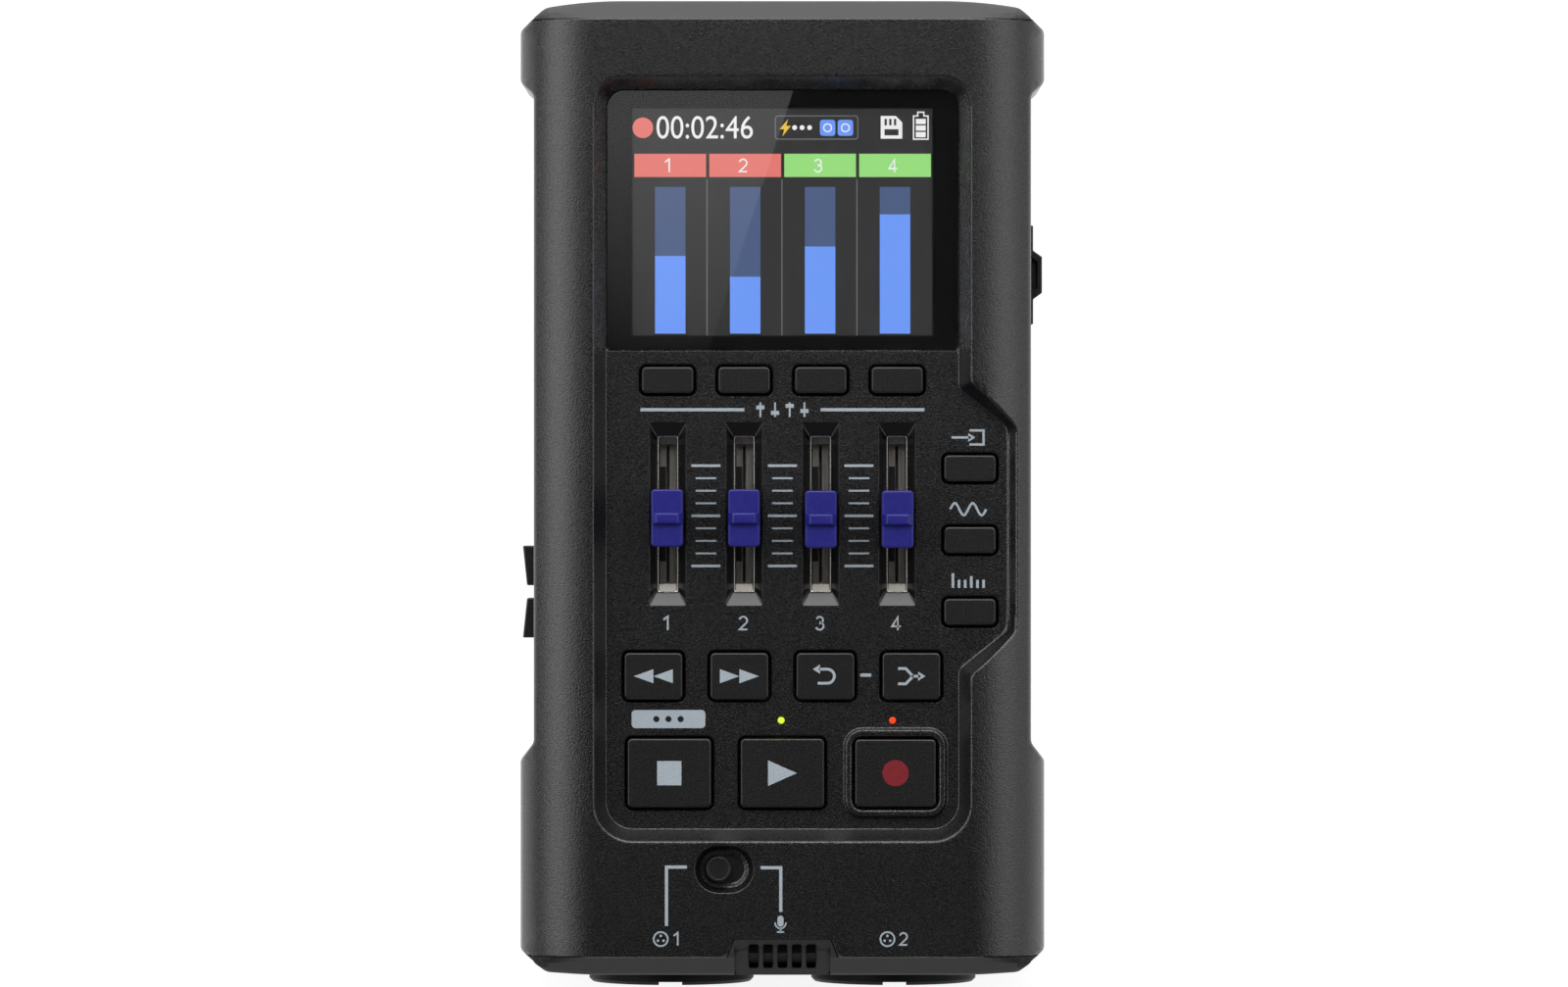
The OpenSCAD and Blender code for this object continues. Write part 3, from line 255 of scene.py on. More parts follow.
def rounded_corner(a, b, c, r, n=8):
    """Points that round the corner at b between a and c."""
    a, b, c = (np.array(p, float) for p in (a, b, c))
    u, v = unit(a - b), unit(c - b)
    half = acos(np.clip(u @ v, -1, 1)) / 2
    m = b + unit(u + v) * r / sin(half)
    p, q = b + u * r / tan(half) - m, b + v * r / tan(half) - m
    steps = [(1 - k / n) * p + k / n * q for k in range(n + 1)]
    return [tuple(m + unit(w) * r) for w in steps]


def side_line(inset):
    """The right side of the outline from above, from the front end to the rear, drawn in by inset."""
    w, n, f, r = HALF_W - inset, WAIST_X - inset, Y_FRONT + inset, Y_REAR - inset
    cut, edge = w - CORNER_DX, max(CORNER_R - inset, CORNER_LEAST_R)
    corners = [(0, f), (cut - BOW_RUN, f), (cut, f + FRONT_BOW), (w, f + FRONT_BOW + CORNER_DY),
               (w, FRONT_BUMP[0]), (n, FRONT_BUMP[1]), (n, REAR_BUMP[0]), (w, REAR_BUMP[1]),
               (w, r - REAR_BOW - CORNER_DY), (cut, r - REAR_BOW), (cut - BOW_RUN, r), (0, r)]
    radii = [BOW_R - inset, edge, CORNER_EDGE_R] + [STEP_R] * 4 + [CORNER_EDGE_R, edge, BOW_R - inset]
    line = [corners[0]]
    for i, radius in enumerate(radii):
        line += rounded_corner(*corners[i:i + 3], radius)
    return line + [corners[-1]]


def between(line, low, high):
    """The stretch of a polyline whose second coordinate lies between low and high."""
    out = []
    for p, q in zip(np.array(line), np.array(line[1:])):
        ends = sorted((p[1], q[1]))
        if ends[1] < low or ends[0] > high or ends[0] == ends[1]:
            continue
        cuts = [np.clip((limit - p[1]) / (q[1] - p[1]), 0, 1) for limit in (low, high)]
        for t in sorted(cuts):
            point = tuple(p + (q - p) * t)
            if not out or dist(point, out[-1]) > SAME:
                out.append(point)
    return out


def finer(line, step, closed=False):
    """The same polyline with points at most step apart."""
    out = []
    for p, q in zip(line, line[1:] + line[:1] if closed else line[1:]):
        n = max(1, int(np.ceil(dist(p, q) / step)))
        out += [(p[0] + (q[0] - p[0]) * k / n, p[1] + (q[1] - p[1]) * k / n) for k in range(n)]
    return out if closed else out + [line[-1]]


def across(height, step):
    """A line over the full width at one height."""
    return finer([(-HALF_W, height), (HALF_W, height)], step)


def uprights(x, low, high, step):
    """Two lines from low to high, at x on each side."""
    return [finer([(s * x, low), (s * x, high)], step) for s in SIDES]


def inside(points, loop):
    """Which points lie inside a closed outline."""
    x, y = points[:, :1], points[:, 1:]
    a = np.array(loop)
    b = np.roll(a, -1, axis=0)
    over = (a[:, 1] > y) != (b[:, 1] > y)
    rise = np.where(b[:, 1] == a[:, 1], 1e-12, b[:, 1] - a[:, 1])
    return (over & (x < (b[:, 0] - a[:, 0]) * (y - a[:, 1]) / rise + a[:, 0])).sum(axis=1) % 2 == 1


def distance(points, line, closed=False):
    """Distance of each point from a polyline."""
    a = np.array(line)
    b = np.roll(a, -1, axis=0)
    if not closed:
        a, b = a[:-1], b[:-1]
    best = np.full(len(points), np.inf)
    for p, q in zip(a, b):
        d = q - p
        t = np.clip(((points - p) @ d) / max(d @ d, 1e-12), 0, 1)
        best = np.minimum(best, np.hypot(*(points - p - t[:, None] * d).T))
    return best


# Heights and blends

def soft_min(a, b, k):
    h = np.maximum(k - np.abs(a - b), 0) / k
    return np.minimum(a, b) - h * h * k / 4


def soft_max(a, b, k):
    return -soft_min(-a, -b, k)


def edge_drop(d, r):
    """How far a rounded edge of radius r falls at distance d from it."""
    t = np.clip(1 - d / r, 0, 1)
    return r * (1 - np.sqrt(1 - t * t))


def lip_rings(ring, z, r, low):
    """Rings of a hole down to low, its upper edge rounded by r: ring(grow) is its outline."""
    turns = [radians(a) for a in (0, 25, 50, 70, 90)]
    steps = [(r * (1 - sin(t)), z - r * (1 - cos(t))) for t in turns] + [(0, low)]
    return [flat(ring(grow), h) for grow, h in steps]


def crown_rings(ring, top, r):
    """Rings of a block's upper edge, rounded by r: ring(inset) is its outline."""
    turns = [radians(a) for a in (0, 22, 45, 67, 90)]
    return [flat(ring(r * (1 - cos(t))), top - r * (1 - sin(t))) for t in turns]


# Meshes

def rim_edges(faces):
    """Edges that belong to one face only, in its direction."""
    seen = {(a, b) for f in faces for a, b in zip(f, f[1:] + f[:1])}
    return [e for e in seen if e[::-1] not in seen]


class Build:
    """Collects points and faces in millimetres and turns them into one piece."""

    def __init__(self):
        self.points, self.faces, self.looks = [], [], []

    def add(self, points, faces, look=0):
        start = len(self.points)
        self.points += [tuple(p) for p in points]
        self.faces += [[start + i for i in f] for f in faces]
        self.looks += [look] * len(faces)

    def quad(self, *corners, look=0):
        self.add(corners, [[0, 1, 2, 3]], look)

    def rings(self, rings, start=False, end=False, look=0):
        """Skin over closed rings of equally many points, with end faces where asked."""
        n, last = len(rings[0]), len(rings) - 1
        faces = [[r * n + i, r * n + (i + 1) % n, (r + 1) * n + (i + 1) % n, (r + 1) * n + i]
                 for r in range(last) for i in range(n)]
        if start:
            faces.append(list(range(n))[::-1])
        if end:
            faces.append([last * n + i for i in range(n)])
        self.add([p for ring in rings for p in ring], faces, look)

    def prism(self, loop, low, high, look=0):
        self.rings([flat(loop, low), flat(loop, high)], True, True, look)

    def piece(self, name, *materials, body="case", slot=None, nodes=(), sharp=38):
        mesh = bpy.data.meshes.new(name)
        mesh.from_pydata([(x * MM, y * MM, z * MM) for x, y, z in self.points], [], self.faces)
        mesh.polygons.foreach_set("material_index", self.looks)
        shape = bmesh.new()
        shape.from_mesh(mesh)
        bmesh.ops.remove_doubles(shape, verts=shape.verts, dist=NEAR * MM)
        bmesh.ops.dissolve_degenerate(shape, edges=shape.edges, dist=1e-7)
        bmesh.ops.recalc_face_normals(shape, faces=shape.faces)
        shape.to_mesh(mesh)
        shape.free()
        return finish_piece(name, mesh, materials, body, nodes, sharp)


class Ink(Build):
    """Flat marks between two heights."""

    def at(self, low, high):
        self.low, self.high = low, high
        return self

    def fill(self, loop):
        self.prism(loop, self.low, self.high)

    def line(self, points, width, closed=False):
        """A line of even width."""
        pts = [np.array(p, float) for p in points]
        n, least_turn = len(pts), 0.4
        left, right = [], []
        for i, p in enumerate(pts):
            before = [p - pts[i - 1]] if closed or i else []
            after = [pts[(i + 1) % n] - p] if closed or i < n - 1 else []
            ways = [unit(way) for way in before + after]
            along = unit(sum(ways))
            out = np.array([-along[1], along[0]])
            out = out * (width / 2 / max(abs(out @ np.array([-ways[0][1], ways[0][0]])), least_turn))
            left.append(tuple(p + out))
            right.append(tuple(p - out))
        if closed:
            ring = [[(*a, self.low), (*a, self.high), (*b, self.high), (*b, self.low)]
                    for a, b in zip(left, right)]
            self.rings(ring + ring[:1])
        else:
            self.fill(left + right[::-1])

    def figure(self, digit, height, centre, width=0.13):
        """One of the figures 1 to 4, drawn with a line of even width."""
        shapes = {
            1: [(-0.24, 0.26), (0.08, 0.5), (0.08, -0.5)],
            2: arc((0, 0.2), 0.28, 0.28, 165, -35, 14) + [(-0.27, -0.45), (0.3, -0.45)],
            3: arc((0, 0.23), 0.24, 0.24, 160, -80, 12) + arc((0, -0.2), 0.28, 0.27, 80, -160, 14),
            4: [(0.12, -0.5), (0.12, 0.46), (-0.3, -0.22), (0.34, -0.22)],
        }
        points = [(centre[0] + x * height, centre[1] + y * height) for x, y in shapes[digit]]
        self.line(points, width * height)

    def text(self, words, height, centre, squeeze):
        """Plain figures from the built-in font, as solid shapes."""
        curve = bpy.data.curves.new("figures", "FONT")
        curve.body = words
        curve.size = 10
        holder = bpy.data.objects.new("figures", curve)
        mesh = holder.to_mesh()
        p = np.array([v.co[:2] for v in mesh.vertices])
        faces = [list(f.vertices) for f in mesh.polygons]
        holder.to_mesh_clear()
        bpy.data.objects.remove(holder)
        bpy.data.curves.remove(curve)
        n, low, high = len(p), p.min(axis=0), p.max(axis=0)
        scale = height / (high[1] - low[1])
        p = (p - (low + high) / 2) * (scale * squeeze, scale) + np.array(centre)
        under = [[i + n for i in f[::-1]] for f in faces]
        rim = [[a, a + n, b + n, b] for a, b in rim_edges(faces)]
        self.add(flat(p, self.high) + flat(p, self.low), faces + under + rim)


def finish_piece(name, mesh, materials, body, nodes, sharp):
    mesh.shade_smooth()
    mesh.set_sharp_from_angle(angle=radians(sharp))
    for material in materials:
        mesh.materials.append(material)
    piece = show(name, mesh)
    normals = piece.modifiers.new("normals", "WEIGHTED_NORMAL")
    normals.keep_sharp = True
    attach(piece, body)
    if nodes:
        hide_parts(*nodes)
    return piece


def restyle(node, material, body, bevel, sharp=30):
    """A copy of a CAD node with soft edges, in the node's place."""
    shape = bmesh.new()
    shape.from_mesh(frame["nodes"][node].data)
    bmesh.ops.remove_doubles(shape, verts=shape.verts, dist=NEAR * MM)
    bmesh.ops.dissolve_limit(shape, angle_limit=radians(0.5), verts=shape.verts, edges=shape.edges)
    mesh = bpy.data.meshes.new(node + "_finish")
    shape.to_mesh(mesh)
    shape.free()
    piece = finish_piece(node + "_finish", mesh, [material], body, [node], sharp)
    round_off = piece.modifiers.new("edges", "BEVEL")
    round_off.width = bevel * MM
    round_off.segments = 2
    round_off.limit_method = "ANGLE"
    round_off.angle_limit = radians(sharp)
    round_off.use_clamp_overlap = True
    piece.modifiers.move(1, 0)


def triangulate(outer, holes, lines=()):
    """Triangles between an outline and its holes, with edges along the given lines."""
    points, edges, margin = [], [], 0.03

    def lay(line, closed):
        start, n = len(points), len(line)
        points.extend(line)
        edges.extend((start + i, start + (i + 1) % n) for i in range(n if closed else n - 1))

    def within(p, gap=None):
        keep = inside(p, outer)
        if gap:
            keep &= distance(p, outer, True) > gap
        for hole in holes:
            keep &= ~inside(p, hole)
            if gap:
                keep &= distance(p, hole, True) > gap
        return keep

    for loop in [outer] + holes:
        lay(loop, True)
    for line in lines:
        run = []
        for point, ok in zip(line, within(np.array(line), margin)):
            if ok:
                run.append(point)
            elif run:
                lay(run, False)
                run = []
        if run:
            lay(run, False)
    found = delaunay_2d_cdt([Vector(p) for p in points], edges, [], 0, 1e-5)
    p = np.array([v[:] for v in found[0]])
    t = np.array([f for f in found[2] if len(f) == 3])
    return p, t[within(p[t].mean(axis=1))]


# Materials

def linear(rgb):
    """Colour values from 0 to 255 as the shader takes them."""
    shares = [c / 255 for c in rgb]
    return tuple(c / 12.92 if c <= 0.04045 else ((c + 0.055) / 1.055) ** 2.4 for c in shares) + (1.0,)


class Look:
    """A node material with patterns in the piece's own coordinates. fixed: the shader's even values."""

    def __init__(self, name, fixed, stretch=(1, 1, 1)):
        self.material = bpy.data.materials.new(name)
        self.material.use_nodes = True
        self.tree = self.material.node_tree
        self.shader = self.tree.nodes["Principled BSDF"]
        self.stretch = stretch
        self.set(self.shader, fixed)

    def set(self, node, values):
        for socket, value in values.items():
            node.inputs[socket].default_value = value

    def add(self, kind, values=None, operation=None):
        node = self.tree.nodes.new("ShaderNode" + kind)
        if operation:
            node.operation = operation
        self.set(node, values or {})
        return node

    def link(self, source, node, socket):
        self.tree.links.new(source, node.inputs[socket])

    def place(self):
        """The piece's own coordinates, scaled by stretch."""
        scaled = self.add("Mapping", {"Scale": self.stretch})
        self.link(self.add("TexCoord").outputs["Object"], scaled, "Vector")
        return scaled.outputs["Vector"]

    def noise(self, scale, detail=2):
        node = self.add("TexNoise", {"Scale": scale, "Detail": detail})
        self.link(self.place(), node, "Vector")
        return node.outputs["Fac"]

    def ramp(self, source, low, high, start=0.0, end=1.0):
        """From low where the source is start to high where it is end."""
        node = self.add("MapRange", {"From Min": start, "From Max": end, "To Min": low, "To Max": high})
        self.link(source, node, "Value")
        return node.outputs["Result"]

    def speckled(self, socket, scale, low, high):
        """The material, with one of the shader's values varied by noise."""
        self.link(self.ramp(self.noise(scale), low, high), self.shader, socket)
        return self.material


def grained(name, rgb, rough=0.5, grain=0.28, bump=0.012, spread=0.16, metallic=0.0, specular=0.5,
            vary=0.06, stretch=(1, 1, 1)):
    """A surface with varying colour, roughness and relief. grain is its size, bump its height."""
    look = Look(name, {"Metallic": metallic, "Specular IOR Level": specular}, stretch)
    fine, broad = look.noise(1 / (grain * MM), 3), look.noise(90, 4)
    both = look.add("Math", {1: 0.25}, "MULTIPLY_ADD")
    look.link(broad, both, 0)
    look.link(fine, both, 2)
    tint = look.add("VectorMath", {"Vector": linear(rgb)[:3]}, "SCALE")
    look.link(look.ramp(both.outputs["Value"], 1 - spread, 1 + spread, 0.45, 0.8), tint, "Scale")
    look.link(tint.outputs["Vector"], look.shader, "Base Color")
    look.link(look.ramp(fine, rough - vary, rough + vary, 0.3, 0.7), look.shader, "Roughness")
    relief = look.add("Bump", {"Strength": 1.0, "Distance": bump * MM})
    look.link(fine, relief, "Height")
    look.link(relief.outputs["Normal"], look.shader, "Normal")
    return look.material


def glowing(name, rgb):
    """A lit part of the screen: dark by itself, with a fine cell pattern in its light."""
    dark = (0.004, 0.004, 0.004, 1)
    look = Look(name, {"Base Color": dark, "Emission Color": linear(rgb), "Roughness": 0.6})
    return look.speckled("Emission Strength", 1 / (DOT * MM), 0.96, 1.04)


def clear_plastic(name):
    look = Look(name, {"Base Color": (0.97, 0.97, 0.98, 1), "IOR": 1.49, "Transmission Weight": 1.0})
    return look.speckled("Roughness", 45, 0.0, 0.004)


def pilot_light(name, rgb, level=0.85):
    """A lit light pipe, brighter and darker in spots."""
    body = linear([c * 0.6 for c in rgb])
    look = Look(name, {"Base Color": body, "Emission Color": linear(rgb), "Roughness": 0.25})
    return look.speckled("Emission Strength", 1500, 0.6 * level, 1.4 * level)


SCREEN_W, SCREEN_L = 47.0, 35.6
DOTS_W, DOTS_L = 320, 240
DOT, DOT_V = SCREEN_W / DOTS_W, SCREEN_L / DOTS_L

SHELL = grained("shell_plastic", (15, 15, 16), rough=0.26, grain=0.24, bump=0.07, spread=0.5,
                specular=0.7)
SMOOTH = grained("smooth_plastic", (20, 20, 21), rough=0.19, grain=0.4, bump=0.001, spread=0.1,
                 vary=0.008)
# The end caps are one plastic in two copies. The front cap's copy reflects little, painted shade for
# the dark side in front of it. The rear cap's copy reflects more.
SHADED_FRONT_CAP = grained("cap_plastic", (43, 42, 43), rough=0.55, grain=0.26, bump=0.006, specular=0.1)
REAR_CAP = grained("rear_cap_plastic", (43, 42, 43), rough=0.5, grain=0.26, bump=0.006, specular=0.42)
KEY = grained("key_plastic", (15, 15, 16), rough=0.36, grain=0.26, bump=0.03, spread=0.4)
FADER = grained("fader_plastic", (22, 21, 107), rough=0.42, grain=0.4, bump=0.006, spread=0.12,
                specular=0.4)
BLACK = grained("black_plastic", (24, 24, 25), rough=0.5, grain=0.3, bump=0.006, specular=0.15)
RUBBER = grained("rubber", (20, 20, 20), rough=0.8, grain=0.2, bump=0.01, specular=0.3)
STEEL = grained("steel", (132, 128, 123), rough=0.42, grain=0.2, bump=0.002, spread=0.1, metallic=0.85,
                stretch=(1, 0.06, 1))
# A much lighter copy of the frame's steel for the rims round the fader mouths: a painted highlight
# along their rounded edges.
LIT_RIM_STEEL = grained("lit_rim_steel", (238, 235, 228), rough=0.3, grain=0.2, bump=0.002, spread=0.08,
                       metallic=0.9)
# A brighter copy of the frame's steel for the front end tabs only: a painted highlight where they catch
# the light.
LIT_TAB_STEEL = grained("lit_tab_steel", (152, 148, 141), rough=0.4, grain=0.2, bump=0.002, spread=0.1,
                    metallic=0.85)
BOARD = grained("board", (18, 66, 38), rough=0.45, grain=0.5, bump=0.004)
CELL = grained("cell_jacket", (120, 92, 40), rough=0.35, grain=0.6, bump=0.002)
PRINT = grained("print_ink", (148, 157, 164), rough=0.6, grain=0.25, bump=0.003, spread=0.06,
                specular=0.2)
RED_PRINT = grained("red_ink", (112, 26, 35), rough=0.6, grain=0.25, bump=0.003, spread=0.12,
                    specular=0.2)
MASK = grained("window_mask", (9, 9, 10), rough=0.5, grain=0.3, bump=0.001, spread=0.05, specular=0.1)
WINDOW = clear_plastic("window_acrylic")
GREEN_LIGHT = pilot_light("green_light", (205, 235, 60))
RED_LIGHT = pilot_light("red_light", (235, 72, 26))


# The upper shell: rounded shoulders and a sunken panel

SIDE = between(side_line(0), CAP_FRONT_Y, CAP_REAR_Y)
NOTCH = [(MIC_BASE_HALF + SEAT_GAP, CAP_FRONT_Y), (MIC_HALF + SEAT_GAP, TONGUE_Y + SEAT_GAP),
         (0, TONGUE_Y + SEAT_GAP)]


def shoulder(x):
    t = np.clip((np.abs(x) - HALF_W + SHOULDER_RUN) / SHOULDER_RUN, 0, 1)
    return RIM_Z - SHOULDER_DROP * (1 - np.sqrt(1 - t * t))


def panel_distance(x, y):
    """Signed distance outside the panel floor's outline."""
    half_l, mid = (PANEL_TOP - PANEL_BOTTOM) / 2, (PANEL_TOP + PANEL_BOTTOM) / 2
    r = np.where(y > mid, PANEL_TOP_R, PANEL_BOTTOM_R)
    qx, qy = np.abs(x) - PANEL_W / 2 + r, np.abs(y - mid) - half_l + r
    return np.minimum(np.maximum(qx, qy), 0) + np.hypot(np.maximum(qx, 0), np.maximum(qy, 0)) - r


def pocket_height(x, y):
    """Height of the sloping wall around the side pocket above the panel floor."""
    slant = hypot(1, POCKET_RISE)
    steep = DEPTH / BEVEL_RUN
    rear = steep * (y - POCKET_TOP - POCKET_RISE * (POCKET_X - x)) / slant
    front = steep * (POCKET_BOTTOM - POCKET_RISE * (POCKET_X - x) - y) / slant
    side = DEPTH / POCKET_BEVEL * (x - POCKET_X)
    inner = steep * (PANEL_W / 2 - POCKET_LAP - x)
    return np.maximum(soft_max(soft_max(rear, front, FLARE_BLEND), side, POCKET_END_BLEND), inner)


def shell_height(x, y):
    floor = soft_max(DEPTH / BEVEL_RUN * panel_distance(x, y), 0, FLOOR_BLEND)
    pocket = soft_max(pocket_height(x, y), 0, POCKET_BLEND)
    sunk = PANEL_Z + np.maximum(soft_min(floor, pocket, JOIN_BLEND), 0)
    p = np.column_stack([np.abs(x), y])
    top = soft_min(shoulder(x), sunk, RIM_BLEND) - edge_drop(distance(p, SIDE), EDGE_R)
    ends = np.minimum(y - CAP_FRONT_Y, CAP_REAR_Y - y)
    return top - edge_drop(np.minimum(ends, distance(p, NOTCH)), SEAM_R)


def shell_outline():
    right = NOTCH[:0:-1] + [NOTCH[0]] + [(SIDE[0][0], CAP_FRONT_Y)] + SIDE + [(0, CAP_REAR_Y)]
    return finer(distinct(right[1:] + mirrored(right)[1:], SAME), MEDIUM, closed=True)


def pocket_line(f):
    """Outline of the pocket's wall at the share f of its height."""
    side = POCKET_BEVEL * f
    lift = BEVEL_RUN * f * hypot(1, POCKET_RISE)
    start = PANEL_W / 2 - POCKET_LAP / 2
    return [(start, POCKET_TOP + lift + POCKET_RISE * (POCKET_X - start)),
            (POCKET_X + side, POCKET_TOP + lift - POCKET_RISE * side),
            (POCKET_X + side, POCKET_BOTTOM - lift + POCKET_RISE * side),
            (start, POCKET_BOTTOM - lift - POCKET_RISE * (POCKET_X - start))]


def shell_lines():
    """The lines of the shell's mesh: edges, the shoulders' bend, the panel's wall and the pocket's."""
    lines = []
    for share in FILLET[1:]:
        side = finer(between(side_line(EDGE_R * share), CAP_FRONT_Y, CAP_REAR_Y), MEDIUM)
        d = SEAM_R * share
        notch = [(NOTCH[0][0] + d, CAP_FRONT_Y), (NOTCH[1][0] + d, NOTCH[1][1] + d)]
        lines += [side, mirrored(side), across(CAP_FRONT_Y + d, MEDIUM), across(CAP_REAR_Y - d, MEDIUM),
                  finer(notch + mirrored(notch), SMALL)]
    for bend in [1 - sin(radians(turn)) for turn in range(SHOULDER_TURN, 90, SHOULDER_TURN)] + [1]:
        lines += uprights(HALF_W - SHOULDER_RUN * bend, CAP_FRONT_Y, CAP_REAR_Y, COARSE)
    for d in PANEL_STEPS:
        loop = tablet(PANEL_W / 2 + d, PANEL_BOTTOM - d, PANEL_TOP + d, PANEL_BOTTOM_R + d,
                      PANEL_TOP_R + d, 10)
        lines.append(finer(loop + loop[:1], SMALL))
    return lines + [finer(pocket_line(f), FINE) for f in POCKET_STEPS]


def key_loop(node, gap, r, n=6):
    """A button's outline, drawn out by gap."""
    w, l = (size(node) - 2 * FLANGE)[:2]
    return round_rect(w + 2 * gap, l + 2 * gap, r, middle(node)[:2], n)


def guard_loop(grow):
    """Outline of the guard around the record button."""
    return key_loop("record_button", GUARD_GAP + grow, GUARD_R + grow, 8)


def with_side_points(loop):
    """The loop with two more points on each long side, near its ends."""
    points = []
    for a, b in zip(loop, loop[1:] + loop[:1]):
        points.append(a)
        if abs(b[1] - a[1]) > MOUTH_L / 2:
            step = copysign(SLOT_SIDE_RUN, b[1] - a[1])
            points += [(a[0], a[1] + step), (b[0], b[1] - step)]
    return points


def fader_slot(x):
    """Rings of a fader's slot: its ends slope gently to the mouth, and its sides fall steeply."""
    def loop(w, l, grow=0):
        return with_side_points(round_rect(w + 2 * grow, l + 2 * grow, SLOT_R + grow, (x, SLOT_Y), 5))

    rim = lip_rings(lambda grow: loop(SLOT_W, SLOT_L, grow), PANEL_Z, SLOT_LIP, 0)
    mouth = loop(MOUTH_W, MOUTH_L)
    end = MOUTH_L / 2 - SLOT_R - SLOT_SIDE_RUN / 2
    drops = [SLOT_DROP if abs(v - SLOT_Y) > end else SLOT_SIDE_DROP for _, v in mouth]
    edge = [(u, v, PANEL_Z - drop) for (u, v), drop in zip(mouth, drops)]
    return rim[:-1] + [edge, flat(mouth, CEILING_Z - SLOT_SKIRT)]


def panel_holes():
    """The rings of every opening in the upper shell, from the outside in. Fader slots come first."""
    def key_hole(node):
        def loop(grow):
            return key_loop(node, KEY_GAP + grow, KEY_R + KEY_GAP + grow)

        return lip_rings(loop, PANEL_Z, KEY_LIP, CEILING_Z)

    def light_hole(node):
        def loop(grow):
            return circle(middle(node)[:2], LIGHT_HOLE_R + grow, 20)

        return lip_rings(loop, PANEL_Z, LIGHT_LIP, CEILING_Z)

    def window(grow):
        return tablet(WINDOW_HIGH[0] + SEAT_GAP + grow, WINDOW_LOW[1] - SEAT_GAP - grow,
                      WINDOW_HIGH[1] + SEAT_GAP + grow, WINDOW_R, WINDOW_TOP_R)

    guard = [flat(guard_loop(grow), PANEL_Z + h) for grow, h in GUARD_SECTION]
    guard += [flat(guard_loop(KEY_GAP - GUARD_GAP), z) for z in (PANEL_Z - GUARD_FOOT, CEILING_Z)]
    dish = [flat(stadium(DISH_W / 2 + grow, SELECTOR_TRAVEL / 2, SELECTOR), RIM_Z - h)
            for grow, h in DISH_SECTION]
    return ([fader_slot(x) for x in FADER_X]
            + [key_hole(node) for node in KEYS if node != "record_button"]
            + [guard, lip_rings(window, PANEL_Z, WINDOW_LIP, WINDOW_LOW[2])]
            + [light_hole(node) for node in LIGHTS] + [dish])


def side_holes(sign):
    """The rings of the openings in one long side, drawn as (y, z, depth)."""
    def pocket(node, l, h, r, deep=WALL, n=5):
        def loop(grow):
            return round_rect(l + 2 * grow, h + 2 * grow, r + grow, middle(node)[1:], n)

        return lip_rings(loop, 0, SIDE_LIP, -deep)

    if sign < 0:
        keys = [pocket(node, *(size(node) - 2 * FLANGE + 2 * SLIP)[1:], SIDE_HOLE_R)
                for node in VOLUME_KEYS]
        return keys + [pocket(node, JACK_D, JACK_D, JACK_D / 2 - ROUND_LEAST, n=8)
                       for node in ("phones_jack", "line_out_jack")]
    plate_l, plate_h = size("power_slider")[1:]
    run = 2 * (POWER_TRAVEL + SLIP)
    well = pocket("power_slider", plate_l + run, plate_h + 2 * SLIP, SIDE_HOLE_R, POWER_WELL)
    at = middle("power_slider")[1:]
    slot = round_rect(POWER_STEM_L + run, POWER_STEM_H + 2 * SLIP, CARD_R, at, 5)
    well += [flat(slot, depth) for depth in (-POWER_WELL, -WALL)]
    return [well, pocket("card_socket", CARD_L, CARD_H, CARD_R),
            pocket("usb_socket", USB_L, USB_H, USB_H / 2 - ROUND_LEAST, n=8)]


def build_shell():
    build = Build()
    holes, outline = panel_holes(), shell_outline()
    p, t = triangulate(outline, [[q[:2] for q in rings[0]] for rings in holes], shell_lines())
    z = shell_height(p[:, 0], p[:, 1])
    build.add(np.column_stack([p, z]), t.tolist())
    for k, rings in enumerate(holes):
        x, y, _ = np.array(rings[0]).T
        rings[0] = np.column_stack([x, y, shell_height(x, y)])
        build.rings(rings, look=int(k < len(FADERS)))
    edges = np.array(rim_edges(t.tolist()))
    on_rim = distance(p[edges].mean(axis=1), outline, True) < NEAR
    seam, flanks = SPLIT_Z + SEAM_R, {s: [] for s in SIDES}
    for a, b in edges[on_rim]:
        pa, pb = (*p[a], z[a]), (*p[b], z[b])
        if all(abs(abs(q[0]) - WAIST_X) < CLOSE for q in (pa, pb)):
            flanks[int(np.sign(pa[0]))] += [pa, pb]
            continue
        at_end = abs(pa[1] - pb[1]) < SAME or max(abs(pa[0]), abs(pb[0])) < MIC_BASE_HALF + 1
        lows = [max(q[2] - WALL, seam) if at_end else seam for q in (pa, pb)]
        build.quad(pa, pb, (*pb[:2], lows[1]), (*pa[:2], lows[0]))
        if not at_end:
            tuck = [(q[0] - np.sign(q[0]) * SEAM_R, q[1], SPLIT_Z) for q in (pb, pa)]
            build.quad((*pa[:2], seam), (*pb[:2], seam), *tuck)
    for sign, row in flanks.items():
        row = sorted({(round(q[1], 6), round(q[2], 6)) for q in row})
        base = finer([(row[0][0], seam), (row[-1][0], seam)], 2 * MEDIUM)
        openings = side_holes(sign)
        q, s = triangulate(row[::-1] + base, [[v[:2] for v in rings[0]] for rings in openings])
        outer, inner = sign * WAIST_X, sign * (WAIST_X - SEAM_R)
        build.add([(outer, *v) for v in q], s.tolist())
        for rings in openings:
            build.rings([[(sign * (WAIST_X + d), y, h) for y, h, d in ring] for ring in rings])
        for (y0, _), (y1, _) in zip(base, base[1:]):
            build.quad((outer, y0, seam), (outer, y1, seam), (inner, y1, SPLIT_Z), (inner, y0, SPLIT_Z))
    build.piece("top_shell", SHELL, SMOOTH, slot="shell_plastic", nodes=["top_case"], sharp=50)


build_shell()


# End caps: a face that leans back at the top, the foot and the corners

def corner_line(front):
    """An end's outline from above within its cap: x, and the depth behind the end plane."""
    if front:
        return np.array([(x, y - Y_FRONT) for x, y in between(side_line(0), Y_FRONT, CAP_FRONT_Y)])
    return np.array([(x, Y_REAR - y) for x, y in between(side_line(0), CAP_REAR_Y, Y_REAR)[::-1]])


